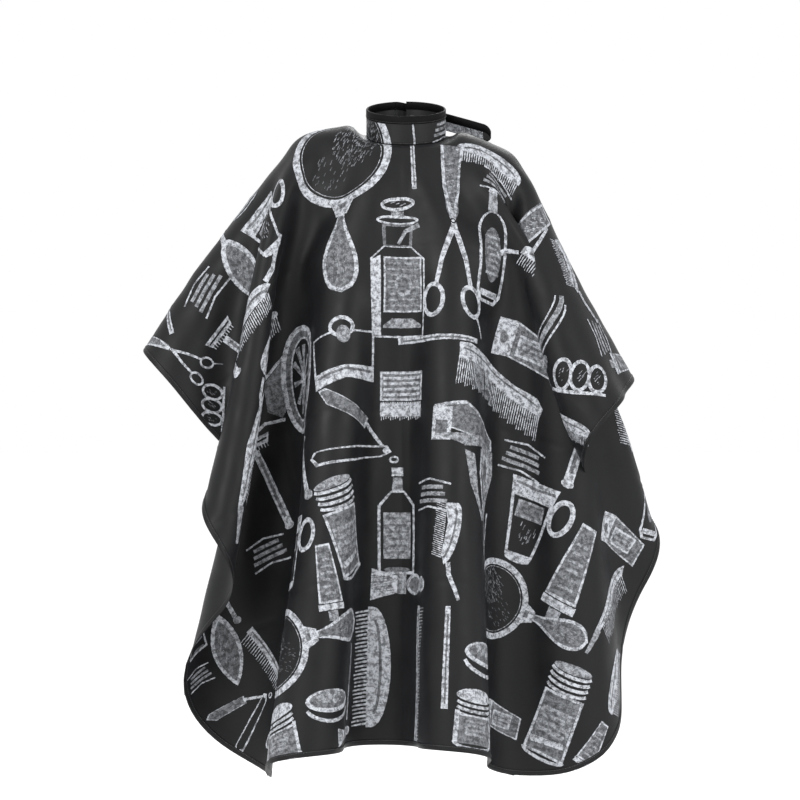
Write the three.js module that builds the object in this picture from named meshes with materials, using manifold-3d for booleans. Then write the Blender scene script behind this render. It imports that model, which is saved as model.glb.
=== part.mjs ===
// Barber cape, closed round the neck as it is worn.
// Millimetres, +Z up, the front faces -Y, +X is the wearer's left.
// The origin is the middle of the neck opening, level with the seam at the front.
import * as THREE from 'three';
import Module from 'manifold-3d';

const wasm = await Module();
wasm.setup();

// ---- the cut of the cloth, laid flat -------------------------------------------------------
const PANEL_WIDTH = 1200;
const FRONT_LENGTH = 1070;       // from the middle of the neck opening to the front hem
const BACK_LENGTH = 430;         // from the middle of the neck opening to the back hem
const FRONT_CORNER_RADIUS = 240;
const BACK_CORNER_RADIUS = 60;
const NECK_RADIUS = 66;
const SLIT_HALF_GAP = 14;        // half the gap between the two back edges at the hem
const CLOTH_THICKNESS = 1.6;     // cloth and its fine ripple taken together

// ---- how the cloth lies on the wearer ------------------------------------------------------
const SHOULDER_TOP = 44;         // height of the cloth beside the neck
const SHOULDER_HALF_WIDTH = 165;
// Degrees below level, and the share of its width that the lower front spreads outwards.
const RIGHT_SIDE = { shoulderSlope: 9, armSlope: 51, spread: 0 };
const LEFT_SIDE = { shoulderSlope: 13, armSlope: 64, spread: 0.26 };
const BODY_DEPTH = 105;
const ARM_DEPTH = 46;
const FRONT_FLARE = 7.7;         // degrees the front leans out from the body
const BACK_FLARE = 10;
const WAIST_TUCK = 0.1;          // share of the width lost half way down the front
const SLEEVE_TUCK = 0.12;        // and just below the ends of the sleeves
const CORNER_LIFT = 0.3;         // how far the back corners ride up towards the shoulders
const FOLD_SPACING = 240;
const FOLD_DEPTH = 24;
const PANEL_COLUMNS = 100;
const PANEL_ROWS = 16;

// ---- the neckband --------------------------------------------------------------------------
const SEAM_RISE = 42;            // the seam is this much higher at the back than at the front
const BAND_HEIGHT = 50;
const BINDING_HEIGHT = 14;
const FACE_THICKNESS = 0.4;
const STIFFENER_THICKNESS = 0.6;
const GAP = 0.3;
const BAND_STEPS = 56;

// ---- the overlapping tab and its loose tail ------------------------------------------------
const RAMP_LENGTH = 18;          // over which the tab climbs onto the other end of the band
const OVERLAP_LENGTH = 42;       // from the slit to where the tail comes free
const TAB_LENGTH = RAMP_LENGTH + OVERLAP_LENGTH;
const TAIL_LENGTH = 114;
const TAB_STAND_OFF = 7;         // room for a closed press stud between the two layers
const TAIL_CURL_RADIUS = 200;
const TAIL_DROOP = 34;
const TAB_TAPER = 20;            // how much lower the tail is than the band
const TIP_RADIUS = 13;
const TAB_STEPS = 16;
const TAIL_STEPS = 20;

// ---- press studs ---------------------------------------------------------------------------
const FIRST_SNAP_TURN = 80.6;    // degrees round the neck; 90 is the slit
const SNAP_TURN_STEP = 15.7;
const SOCKET_COUNT = 2;
const STUD_COUNT = 4;
const SNAP_HEIGHT = 21;          // above the neck seam
const SNAP_SEGMENTS = 16;
const HOLE_RADIUS = 1.8;
const POST_RADIUS = 1.5;
const CAP_RADIUS = 5.5;
const CAP_THICKNESS = 1.2;
const FLANGE_RADIUS = 5;
const FLANGE_THICKNESS = 1;
const STUD_RADIUS = 2.45;
const STUD_REACH = 3.2;
const SOCKET_THICKNESS = 3;
const SOCKET_MOUTH_RADIUS = 2.75;
const SOCKET_DEPTH = 2.3;
const SEAT_GAP = 0.4;            // lets a flat disc sit inside the curve of the band

const root = new THREE.Group();
root.name = 'barber_cape';

const BLACK_CLOTH = { color: 0x141416, roughness: 0.55, metalness: 0 };
const BLACK_BINDING = { color: 0x0d0d0f, roughness: 0.7, metalness: 0 };
const STIFFENER = { color: 0xd8d8d4, roughness: 0.9, metalness: 0 };
const BLACK_ACETAL = { color: 0x18181a, roughness: 0.35, metalness: 0 };

function addMesh(name, geometry, look) {
  const mesh = new THREE.Mesh(geometry, new THREE.MeshStandardMaterial(look));
  mesh.name = name;
  root.add(mesh);
}

const radians = THREE.MathUtils.degToRad;
const mix = THREE.MathUtils.lerp;
const smooth = (value, from, to) => THREE.MathUtils.smoothstep(value, from, to);

/** Height of the neck seam at an angle round the neck (90 degrees is the back). */
function seamHeight(angle) {
  return SEAM_RISE * (1 + Math.sin(angle)) / 2;
}

/** Follow a path whose slope changes along the way, and return how far it gets out and down. */
function walk(length, slopeAt) {
  const steps = 24;
  const step = length / steps;
  let out = 0;
  let down = 0;
  for (let index = 0; index < steps; index += 1) {
    const slope = radians(slopeAt((index + 0.5) * step));
    out += Math.cos(slope) * step;
    down += Math.sin(slope) * step;
  }
  return { out, down };
}

/** Where the cloth `across` mm from the centre line crosses the top of the shoulder or arm. */
function shoulderPoint(across) {
  const side = across < 0 ? RIGHT_SIDE : LEFT_SIDE;
  const path = walk(Math.abs(across), (distance) => {
    const turn = smooth(distance, SHOULDER_HALF_WIDTH - 30, SHOULDER_HALF_WIDTH + 70);
    return mix(side.shoulderSlope, side.armSlope, turn);
  });
  return { x: Math.sign(across) * path.out, z: SHOULDER_TOP - path.down };
}

/** The place on the wearer of a point of the flat cloth, away from the neck. */
function drapedPoint(across, along) {
  const top = shoulderPoint(across);
  const distance = Math.abs(along);
  const onArm = smooth(Math.abs(across), 90, 380);
  const depth = mix(BODY_DEPTH, ARM_DEPTH, onArm);
  const flare = along < 0 ? FRONT_FLARE : BACK_FLARE;
  const path = walk(distance, (part) => 90 - flare - (82 - flare) * Math.exp(-part / depth));
  if (along >= 0) {
    const lift = CORNER_LIFT * smooth(distance, 0, BACK_LENGTH);
    return new THREE.Vector3(top.x, path.out, top.z * (1 - lift) - path.down);
  }
  const portion = distance / FRONT_LENGTH;
  const fold = FOLD_DEPTH * portion * Math.cos(2 * Math.PI * across / FOLD_SPACING);
  const sleeve = SLEEVE_TUCK * Math.exp(-(((distance - 160) / 90) ** 2)) * onArm;
  const waist = WAIST_TUCK * Math.sin(Math.PI * portion);
  const level = 1 - smooth(portion, 0, 1) * 0.9;
  const spread = (across < 0 ? RIGHT_SIDE : LEFT_SIDE).spread * smooth(portion, 0.3, 0.8);
  return new THREE.Vector3(
    top.x * (1 - sleeve - waist + spread),
    -path.out - fold,
    top.z * level - path.down,
  );
}

/** The place on the wearer of any point of the flat cloth. */
function clothPoint(across, along) {
  const distance = Math.hypot(across, along);
  const angle = Math.atan2(along, across);
  const yoke = new THREE.Vector3(
    across,
    along,
    seamHeight(angle) - GAP - (distance - NECK_RADIUS) * 0.25,
  );
  return yoke.lerp(drapedPoint(across, along), smooth(distance, NECK_RADIUS, NECK_RADIUS + 110));
}

/** The unit vector standing out of the cloth, away from the wearer. */
function clothNormal(across, along) {
  const step = 2;
  const acrossEdge = clothPoint(across + step, along).sub(clothPoint(across - step, along));
  const alongEdge = clothPoint(across, along + step).sub(clothPoint(across, along - step));
  return acrossEdge.cross(alongEdge).normalize();
}

/** Evenly spaced points round the cut edge, from one side of the back slit to the other. */
function cutEdge() {
  const halfWidth = PANEL_WIDTH / 2;
  const backCorner = halfWidth - BACK_CORNER_RADIUS;
  const frontCorner = halfWidth - FRONT_CORNER_RADIUS;
  const backLine = BACK_LENGTH - BACK_CORNER_RADIUS;
  const frontLine = FRONT_CORNER_RADIUS - FRONT_LENGTH;
  const quarter = Math.PI / 2;
  const edge = new THREE.Path();
  edge.moveTo(SLIT_HALF_GAP, BACK_LENGTH);
  edge.lineTo(backCorner, BACK_LENGTH);
  edge.absarc(backCorner, backLine, BACK_CORNER_RADIUS, quarter, 0, true);
  edge.absarc(frontCorner, frontLine, FRONT_CORNER_RADIUS, 0, -quarter, true);
  edge.absarc(-frontCorner, frontLine, FRONT_CORNER_RADIUS, -quarter, -2 * quarter, true);
  edge.absarc(-backCorner, backLine, BACK_CORNER_RADIUS, 2 * quarter, quarter, true);
  edge.lineTo(-SLIT_HALF_GAP, BACK_LENGTH);
  return edge.getSpacedPoints(PANEL_COLUMNS);
}

/** Close a block of points [column][row][side] into one solid sheet. */
function sheetGeometry(points) {
  const columns = points.length;
  const rows = points[0].length;
  const positions = [];
  const faces = [];
  for (const column of points) {
    for (const pair of column) {
      positions.push(...pair[0].toArray(), ...pair[1].toArray());
    }
  }
  const at = (column, row, side) => (column * rows + row) * 2 + side;
  const quad = (a, b, c, d) => faces.push(a, b, c, a, c, d);
  for (let column = 0; column < columns - 1; column += 1) {
    for (let row = 0; row < rows - 1; row += 1) {
      quad(at(column, row, 0), at(column + 1, row, 0), at(column + 1, row + 1, 0), at(column, row + 1, 0));
      quad(at(column, row, 1), at(column, row + 1, 1), at(column + 1, row + 1, 1), at(column + 1, row, 1));
    }
    const last = rows - 1;
    quad(at(column, 0, 0), at(column, 0, 1), at(column + 1, 0, 1), at(column + 1, 0, 0));
    quad(at(column, last, 0), at(column + 1, last, 0), at(column + 1, last, 1), at(column, last, 1));
  }
  for (let row = 0; row < rows - 1; row += 1) {
    const last = columns - 1;
    quad(at(0, row, 0), at(0, row + 1, 0), at(0, row + 1, 1), at(0, row, 1));
    quad(at(last, row, 0), at(last, row, 1), at(last, row + 1, 1), at(last, row + 1, 0));
  }
  const geometry = new THREE.BufferGeometry();
  geometry.setAttribute('position', new THREE.Float32BufferAttribute(positions, 3));
  geometry.setIndex(faces);
  return geometry;
}

function capePanel() {
  const points = cutEdge().map((edge) => {
    const angle = Math.atan2(edge.y, edge.x);
    const neck = new THREE.Vector2(Math.cos(angle), Math.sin(angle)).multiplyScalar(NECK_RADIUS);
    const column = [];
    for (let row = 0; row <= PANEL_ROWS; row += 1) {
      const flat = neck.clone().lerp(edge, (row / PANEL_ROWS) ** 1.25);
      const outer = clothPoint(flat.x, flat.y);
      const inner = outer.clone().addScaledVector(clothNormal(flat.x, flat.y), -CLOTH_THICKNESS);
      column.push([outer, inner]);
    }
    return column;
  });
  return sheetGeometry(points);
}

/** A place on the band: the point on its path, the outward direction and how far it is lifted. */
function bandPlace(turn) {
  const outward = new THREE.Vector3(Math.cos(turn), Math.sin(turn), 0);
  const foot = outward.clone().multiplyScalar(NECK_RADIUS).setZ(seamHeight(turn));
  return { foot, outward, height: BAND_HEIGHT };
}

/** The same for the tab and tail, `along` mm from where the tab starts to leave the band. */
function tabPlace(along) {
  const rampTurn = RAMP_LENGTH / NECK_RADIUS;
  const overlapRadius = NECK_RADIUS + TAB_STAND_OFF;
  const onRamp = Math.min(along, RAMP_LENGTH) / RAMP_LENGTH;
  const onOverlap = Math.min(Math.max(0, along - RAMP_LENGTH), OVERLAP_LENGTH);
  const loose = Math.max(0, along - TAB_LENGTH);
  const turn = Math.PI / 2 + rampTurn * (1 - onRamp) - onOverlap / overlapRadius;
  const outward = new THREE.Vector3(Math.cos(turn), Math.sin(turn), 0);
  const forward = new THREE.Vector3(Math.sin(turn), -Math.cos(turn), 0);
  const curl = loose / TAIL_CURL_RADIUS;
  const foot = outward.clone().multiplyScalar(NECK_RADIUS + TAB_STAND_OFF * smooth(onRamp, 0, 1));
  foot.addScaledVector(forward, TAIL_CURL_RADIUS * Math.sin(curl));
  foot.addScaledVector(outward, TAIL_CURL_RADIUS * (1 - Math.cos(curl)));
  outward.applyAxisAngle(new THREE.Vector3(0, 0, 1), curl);
  const taper = TAB_TAPER * smooth(along, 0, TAB_LENGTH);
  const toTip = Math.max(0, loose - TAIL_LENGTH + TIP_RADIUS) * 0.95;
  const rounding = TIP_RADIUS - Math.sqrt(TIP_RADIUS ** 2 - toTip ** 2);
  const droop = TAIL_DROOP * loose / TAIL_LENGTH;
  foot.z = seamHeight(turn) + taper * 0.5 - droop + rounding;
  return { foot, outward, height: BAND_HEIGHT - taper - 2 * rounding };
}

/** Sweep one layer of a band along a path. The layer is a ring of [outward, up] corners. */
function sweptLayer(placeAt, from, to, steps, layer) {
  const positions = [];
  const faces = [];
  let count = 0;
  for (let index = 0; index <= steps; index += 1) {
    const place = placeAt(mix(from, to, index / steps));
    const corners = layer(place.height);
    count = corners.length;
    for (const [out, up] of corners) {
      const point = place.foot.clone().addScaledVector(place.outward, out);
      positions.push(point.x, point.y, point.z + up);
    }
  }
  for (let index = 0; index < steps; index += 1) {
    for (let corner = 0; corner < count; corner += 1) {
      const next = (corner + 1) % count;
      const here = index * count;
      const there = here + count;
      faces.push(here + corner, there + next, there + corner);
      faces.push(here + corner, here + next, there + next);
    }
  }
  const outline = layer(BAND_HEIGHT).map(([out, up]) => new THREE.Vector2(out, up));
  for (const [a, b, c] of THREE.ShapeUtils.triangulateShape(outline, [])) {
    const end = steps * count;
    faces.push(a, c, b);
    faces.push(end + a, end + b, end + c);
  }
  const geometry = new THREE.BufferGeometry();
  geometry.setAttribute('position', new THREE.Float32BufferAttribute(positions, 3));
  geometry.setIndex(faces);
  return geometry;
}

// The layers of the band, from the neck outwards.
const LINING_OUT = 0;
const STIFFENER_OUT = LINING_OUT + FACE_THICKNESS + GAP;
const OUTER_OUT = STIFFENER_OUT + STIFFENER_THICKNESS + GAP;
const BAND_THICKNESS = OUTER_OUT + FACE_THICKNESS;

const flatLayer = (inner, thickness, margin) => (height) => [
  [inner, margin],
  [inner + thickness, margin],
  [inner + thickness, height - GAP - FACE_THICKNESS - margin],
  [inner, height - GAP - FACE_THICKNESS - margin],
];

const LINING_LAYER = flatLayer(LINING_OUT, FACE_THICKNESS, 0);
const STIFFENER_LAYER = flatLayer(STIFFENER_OUT, STIFFENER_THICKNESS, 1);
const OUTER_LAYER = flatLayer(OUTER_OUT, FACE_THICKNESS, 0);

/** A tape folded over the top edge. */
const BINDING_LAYER = (height) => {
  const inside = LINING_OUT - GAP;
  const outside = BAND_THICKNESS + GAP;
  const foot = height - Math.min(BINDING_HEIGHT, height - 3);
  return [
    [inside - FACE_THICKNESS, foot],
    [inside, foot],
    [inside, height - FACE_THICKNESS],
    [outside, height - FACE_THICKNESS],
    [outside, foot],
    [outside + FACE_THICKNESS, foot],
    [outside + FACE_THICKNESS, height],
    [inside - FACE_THICKNESS, height],
  ];
};

function toManifold(geometry) {
  return new wasm.Manifold(new wasm.Mesh({
    numProp: 3,
    vertProperties: new Float32Array(geometry.getAttribute('position').array),
    triVerts: new Uint32Array(geometry.getIndex().array),
  }));
}

function fromManifold(solid) {
  const mesh = solid.getMesh();
  const positions = [];
  for (let vertex = 0; vertex < mesh.numVert; vertex += 1) {
    positions.push(...mesh.vertProperties.slice(vertex * mesh.numProp, vertex * mesh.numProp + 3));
  }
  const geometry = new THREE.BufferGeometry();
  geometry.setAttribute('position', new THREE.Float32BufferAttribute(positions, 3));
  geometry.setIndex([...mesh.triVerts]);
  return geometry;
}

/** Turn the upright axis of a part to point along `outward` and move it to `point`. */
function faceOutward(point, outward) {
  const turn = new THREE.Quaternion().setFromUnitVectors(new THREE.Vector3(0, 0, 1), outward);
  return new THREE.Matrix4().compose(point, turn, new THREE.Vector3(1, 1, 1));
}

/** The holes punched through a layer for the posts of the press studs. */
function punched(geometry, places) {
  let solid = toManifold(geometry);
  for (const place of places) {
    const reach = 12;
    const punch = wasm.Manifold.cylinder(reach, HOLE_RADIUS, HOLE_RADIUS, 16, true);
    solid = solid.subtract(punch.transform(faceOutward(place.point, place.outward).elements));
  }
  return fromManifold(solid);
}

/** The middle of a press stud, on the inner face of a band layer of the given radius. */
function snapPlace(index, radius) {
  const turn = radians(FIRST_SNAP_TURN - index * SNAP_TURN_STEP);
  const outward = new THREE.Vector3(Math.cos(turn), Math.sin(turn), 0);
  const point = outward.clone().multiplyScalar(radius).setZ(seamHeight(turn) + SNAP_HEIGHT);
  return { outward, point };
}

/** A turned part from its [radius, height] corners, which run up the outside from the axis. */
function turned(corners) {
  return new THREE.LatheGeometry(corners.map(([r, z]) => new THREE.Vector2(r, z)), SNAP_SEGMENTS)
    .rotateX(Math.PI / 2);
}

/** A cap with its post: the post stands up from a domed disc. */
function capGeometry(postLength) {
  return turned([
    [0, -CAP_THICKNESS],
    [CAP_RADIUS - 1.2, -CAP_THICKNESS],
    [CAP_RADIUS - 0.3, -CAP_THICKNESS * 0.7],
    [CAP_RADIUS, -CAP_THICKNESS * 0.3],
    [CAP_RADIUS - 0.2, 0],
    [POST_RADIUS, 0],
    [POST_RADIUS, postLength],
    [0, postLength],
  ]);
}

/** The half that pushes in: a flange with a hollow knob, slightly waisted. */
function studGeometry() {
  return turned([
    [0, STUD_REACH - 0.5],
    [HOLE_RADIUS, STUD_REACH - 0.5],
    [HOLE_RADIUS, 0],
    [FLANGE_RADIUS, 0],
    [FLANGE_RADIUS, FLANGE_THICKNESS],
    [STUD_RADIUS - 0.3, FLANGE_THICKNESS],
    [STUD_RADIUS, STUD_REACH - 0.8],
    [STUD_RADIUS - 0.4, STUD_REACH],
    [0, STUD_REACH],
  ]);
}

/** The half that receives: a ring-walled cup with a hole for the post in its floor. */
function socketGeometry() {
  return turned([
    [HOLE_RADIUS, 0],
    [FLANGE_RADIUS, 0],
    [FLANGE_RADIUS, FLANGE_THICKNESS],
    [FLANGE_RADIUS - 0.8, SOCKET_THICKNESS - 0.2],
    [FLANGE_RADIUS - 1, SOCKET_THICKNESS],
    [SOCKET_MOUTH_RADIUS, SOCKET_THICKNESS],
    [SOCKET_MOUTH_RADIUS, SOCKET_THICKNESS - SOCKET_DEPTH],
    [HOLE_RADIUS, SOCKET_THICKNESS - SOCKET_DEPTH],
    [HOLE_RADIUS, 0],
  ]);
}

/** Set a turned part down `out` mm from a snap's place, pointing outward or back at the neck. */
function setDown(geometry, place, out, pointing) {
  const point = place.point.clone().addScaledVector(place.outward, out);
  return geometry.applyMatrix4(faceOutward(point, place.outward.clone().multiplyScalar(pointing)));
}

// ---- cape and band -------------------------------------------------------------------------
addMesh('cape_panel', capePanel(), BLACK_CLOTH);

const studPlaces = Array.from({ length: STUD_COUNT }, (_, index) => snapPlace(index, NECK_RADIUS));
const endGap = 0.3 / NECK_RADIUS;
const underEnd = Math.PI * 2.5 - 2 * endGap;
const overEnd = Math.PI / 2 + RAMP_LENGTH / NECK_RADIUS + endGap;
const bandLayer = (layer) => sweptLayer(bandPlace, underEnd, overEnd, BAND_STEPS, layer);
addMesh('neckband_lining', punched(bandLayer(LINING_LAYER), studPlaces), BLACK_CLOTH);
addMesh('neckband_stiffener', punched(bandLayer(STIFFENER_LAYER), studPlaces), STIFFENER);
addMesh('neckband_outer', punched(bandLayer(OUTER_LAYER), studPlaces), BLACK_CLOTH);
addMesh('neckband_binding', bandLayer(BINDING_LAYER), BLACK_BINDING);

studPlaces.forEach((place, index) => {
  const cap = setDown(capGeometry(BAND_THICKNESS + 2 * SEAT_GAP + 1.6), place, -SEAT_GAP, 1);
  addMesh(`stud_cap_${index + 1}`, cap, BLACK_ACETAL);
  addMesh(`stud_${index + 1}`, setDown(studGeometry(), place, BAND_THICKNESS + GAP, 1), BLACK_ACETAL);
});

// ---- tab -----------------------------------------------------------------------------------
const tabRadius = NECK_RADIUS + TAB_STAND_OFF;
const socketPlaces = Array.from({ length: SOCKET_COUNT }, (_, index) => snapPlace(index, tabRadius));
const tabLayer = (layer) => sweptLayer(tabPlace, 0, TAB_LENGTH - GAP, TAB_STEPS, layer);
addMesh('tab_lining', punched(tabLayer(LINING_LAYER), socketPlaces), BLACK_CLOTH);
addMesh('tab_stiffener', punched(tabLayer(STIFFENER_LAYER), socketPlaces), STIFFENER);
addMesh('tab_outer', punched(tabLayer(OUTER_LAYER), socketPlaces), BLACK_CLOTH);
addMesh('tab_binding', tabLayer(BINDING_LAYER), BLACK_BINDING);

socketPlaces.forEach((place, index) => {
  const cap = setDown(capGeometry(BAND_THICKNESS + SEAT_GAP + GAP + 0.5), place, BAND_THICKNESS + GAP, -1);
  addMesh(`socket_cap_${index + 1}`, cap, BLACK_ACETAL);
  addMesh(`socket_${index + 1}`, setDown(socketGeometry(), place, -SEAT_GAP, -1), BLACK_ACETAL);
});

// ---- tail ----------------------------------------------------------------------------------
const tailLayer = (layer) => sweptLayer(tabPlace, TAB_LENGTH, TAB_LENGTH + TAIL_LENGTH, TAIL_STEPS, layer);
addMesh('tail_lining', tailLayer(LINING_LAYER), BLACK_CLOTH);
addMesh('tail_stiffener', tailLayer(STIFFENER_LAYER), STIFFENER);
addMesh('tail_outer', tailLayer(OUTER_LAYER), BLACK_CLOTH);
addMesh('tail_binding', tailLayer(BINDING_LAYER), BLACK_BINDING);

export default root;
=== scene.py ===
"""A printed barber cape with a press-stud collar, hanging as it is worn by somebody unseen.

The cloth is cut flat and draped over a rough stand-in for the wearer by a small cloth solver.
The print is a set of line drawings of barber's tools, laid out on the flat cloth and carried
onto the folds. Metres, +Z up, the front faces -Y, +X is the wearer's left.
"""
import math

import bpy
import numpy as np
from mathutils.geometry import delaunay_2d_cdt
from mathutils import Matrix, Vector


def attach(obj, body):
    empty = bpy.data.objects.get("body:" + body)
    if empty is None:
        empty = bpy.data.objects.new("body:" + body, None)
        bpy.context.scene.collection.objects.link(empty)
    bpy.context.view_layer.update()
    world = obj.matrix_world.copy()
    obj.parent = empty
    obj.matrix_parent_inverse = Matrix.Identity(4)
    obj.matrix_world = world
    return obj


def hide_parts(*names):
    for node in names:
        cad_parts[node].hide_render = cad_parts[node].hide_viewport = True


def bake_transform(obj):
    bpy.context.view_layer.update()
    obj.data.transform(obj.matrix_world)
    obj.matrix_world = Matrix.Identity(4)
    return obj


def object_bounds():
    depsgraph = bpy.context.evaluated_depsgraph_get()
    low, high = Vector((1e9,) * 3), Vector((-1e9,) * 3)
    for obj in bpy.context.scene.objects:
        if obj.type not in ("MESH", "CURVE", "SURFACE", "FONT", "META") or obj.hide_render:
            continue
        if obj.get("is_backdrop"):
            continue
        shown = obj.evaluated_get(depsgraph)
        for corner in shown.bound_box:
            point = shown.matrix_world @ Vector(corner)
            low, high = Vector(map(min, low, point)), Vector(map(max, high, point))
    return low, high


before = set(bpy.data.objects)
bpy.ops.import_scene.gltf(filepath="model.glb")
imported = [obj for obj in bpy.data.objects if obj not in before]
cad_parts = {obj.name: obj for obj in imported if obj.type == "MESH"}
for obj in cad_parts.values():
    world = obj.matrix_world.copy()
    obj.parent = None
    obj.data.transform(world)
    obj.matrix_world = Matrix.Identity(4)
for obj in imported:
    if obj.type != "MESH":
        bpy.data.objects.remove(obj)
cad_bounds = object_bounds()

MM = 0.001
TURN = 2 * math.pi

# ---- the cut of the cloth, laid flat: u runs across, v towards the back -----------------------
HALF_WIDTH = 0.60
BACK_LENGTH = 0.43
FRONT_LENGTH = 1.07
FRONT_CORNER = 0.24
BACK_CORNER = 0.06
NECK_RADIUS = 0.066
SEAM_RISE = 0.042            # the neck seam is this much higher at the back than at the front
SLIT_HALF_GAP = 0.0015

# ---- the wearer -------------------------------------------------------------------------------
SHOULDER_TOP = 0.048
RIGHT_SLOPES = (6, 54)       # degrees below level of the shoulder and of the upper arm
LEFT_SLOPES = (12, 67)
ARM_STARTS = (0.135, 0.235)  # where across the cloth one slope turns into the other
BODY_DEPTH = 0.105           # over how far the cloth bends from level to hanging
ARM_DEPTH = 0.05
FIRST_SLOPE = 8
FRONT_FLARE = 3              # degrees the cloth hangs away from upright
BACK_FLARE = 2
CORNER_LIFT = 0.25           # share by which the back hem rides up towards the shoulders
YOKE_WIDTH = 0.10            # the cloth round the neck, which slopes evenly away from it
YOKE_SLOPE = 0.2
TO_HANDS = (0.05, 0.55)      # how far down the front the plan turns into that at the hands
TO_HEM = (0.45, 1.0)
HAND_PLAN = [                # the cloth seen from above at the height of the hands
    (-0.31, 0.09), (-0.37, 0.03), (-0.385, -0.06), (-0.33, -0.145), (-0.22, -0.185),
    (-0.12, -0.185), (-0.06, -0.175), (0.0, -0.185), (0.08, -0.195), (0.15, -0.18),
    (0.22, -0.175), (0.29, -0.14), (0.335, -0.06), (0.32, 0.03), (0.27, 0.09),
]
HEM_PLAN = [                 # and at the hem
    (-0.33, 0.06), (-0.37, -0.02), (-0.365, -0.10), (-0.30, -0.17), (-0.20, -0.21),
    (-0.125, -0.205), (-0.09, -0.15), (-0.045, -0.135), (0.01, -0.165), (0.09, -0.19),
    (0.165, -0.185), (0.20, -0.15), (0.235, -0.135), (0.30, -0.15), (0.355, -0.11),
    (0.385, -0.03), (0.37, 0.05),
]
LIMBS = [                    # start, end, radius at the start, radius at the end
    ((0, 0, -0.20), (0, 0.01, 0.12), 0.054, 0.054),
    ((-0.12, 0, -0.085), (0.12, 0, -0.085), 0.074, 0.074),
    ((-0.04, 0, 0), (-0.155, 0, -0.022), 0.052, 0.050),
    ((-0.155, 0, -0.022), (-0.365, -0.05, -0.285), 0.048, 0.034),
    ((-0.365, -0.05, -0.285), (-0.335, -0.08, -0.50), 0.034, 0.030),
    ((-0.335, -0.08, -0.50), (-0.33, -0.09, -0.60), 0.034, 0.034),
    ((0.04, 0, -0.005), (0.15, 0, -0.045), 0.052, 0.050),
    ((0.15, 0, -0.045), (0.295, -0.05, -0.345), 0.048, 0.034),
    ((0.295, -0.05, -0.345), (0.27, -0.08, -0.54), 0.034, 0.030),
    ((0.27, -0.08, -0.54), (0.275, -0.09, -0.64), 0.034, 0.034),
]
BODY = [                     # centre and half axes of the chest, its two sides and the lap
    ((0, 0, -0.26), (0.165, 0.12, 0.24)),
    ((-0.075, -0.085, -0.22), (0.08, 0.05, 0.09)),
    ((0.075, -0.085, -0.22), (0.08, 0.05, 0.09)),
    ((-0.01, 0, -0.72), (0.30, 0.13, 0.50)),
]

# ---- the cloth solver -------------------------------------------------------------------------
DRAPE_STEP = 0.02
PHASES = [(0.003, 350, 0.97), (0.002, 200, 0.95)]    # time step, steps, share of speed kept
SHEAR_STIFFNESS = 0.4
BEND_STIFFNESS = 0.3
WIDE_BEND_STIFFNESS = 0.05
SKIN_GAP = 0.004
FRICTION = 0.6
TOP_SPEED = 1.5
GRAVITY = np.array([0, 0, -9.81])
MESH_STEP = 0.005
NUDGE = 1e-7                 # moves a point of the centre line to one side of the slit


def mix(a, b, share):
    return a + (b - a) * share


def smooth(value, start, stop):
    share = np.clip((value - start) / (stop - start), 0, 1)
    return share * share * (3 - 2 * share)


def lengths(vectors):
    return np.sqrt(np.einsum("ij,ij->i", vectors, vectors)) + 1e-9


def run_along(points):
    """How far along a line each of its points is."""
    steps = np.linalg.norm(np.diff(points, axis=0), axis=1)
    return np.concatenate([[0], np.cumsum(steps)])


def level(turn):
    """The level direction at an angle round the neck."""
    return np.stack([np.cos(turn), np.sin(turn), 0 * turn], -1)


def anticlockwise(points):
    """A closed outline, turned over if it runs clockwise."""
    around = sum(a[0] * b[1] - b[0] * a[1] for a, b in zip(points, points[1:] + points[:1]))
    return points if around > 0 else points[::-1]


def seam_height(angle):
    """Height of the neck seam at an angle round the neck. A quarter turn is the back."""
    return SEAM_RISE * (1 + np.sin(angle)) / 2


# ---- laying the flat cloth roughly over the wearer --------------------------------------------
def over_shoulder(u):
    """How far out and how high the cloth is where it crosses the shoulder or the arm."""
    pieces = 60
    distance = np.abs(u)[..., None] * (np.arange(pieces) + 0.5) / pieces
    arm = smooth(distance, *ARM_STARTS)
    right = mix(*RIGHT_SLOPES, arm)
    left = mix(*LEFT_SLOPES, arm)
    slope = np.radians(np.where(u[..., None] < 0, right, left))
    piece = np.abs(u) / pieces
    out = np.sign(u) * np.cos(slope).sum(-1) * piece
    return out, SHOULDER_TOP - np.sin(slope).sum(-1) * piece


def curve_through(points, pieces=40):
    """A smooth curve through the points, as many short pieces."""
    points = np.array(points)
    ends = np.vstack([2 * points[0] - points[1], points, 2 * points[-1] - points[-2]])
    t = np.linspace(0, 1, pieces, endpoint=False)[:, None]
    curve = []
    for a, b, c, d in zip(ends, ends[1:], ends[2:], ends[3:]):
        bend = (2 * a - 5 * b + 4 * c - d) * t**2 + (3 * b - a - 3 * c + d) * t**3
        curve.append(0.5 * (2 * b + (c - a) * t + bend))
    return np.vstack(curve + [points[-1:]])


def along_plan(plan, u):
    """The place on a plan curve of a point u across the cloth."""
    curve = curve_through(plan)
    length = run_along(curve)
    front = np.abs(curve[:, 0]) + 10 * (curve[:, 1] > 0)
    middle = length[front.argmin()]
    along = np.interp(u, [-HALF_WIDTH, 0, HALF_WIDTH], [0, middle, length[-1]])
    return np.interp(along, length, curve[:, 0]), np.interp(along, length, curve[:, 1])


def falling(distance, depth, flare):
    """Out and down along cloth that bends from nearly level to hanging, over about `depth`."""
    pieces = 60
    part = distance[..., None] * (np.arange(pieces) + 0.5) / pieces
    slope = np.radians(90 - flare - (90 - FIRST_SLOPE - flare) * np.exp(-part / depth[..., None]))
    piece = distance / pieces
    return np.cos(slope).sum(-1) * piece, np.sin(slope).sum(-1) * piece


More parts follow.
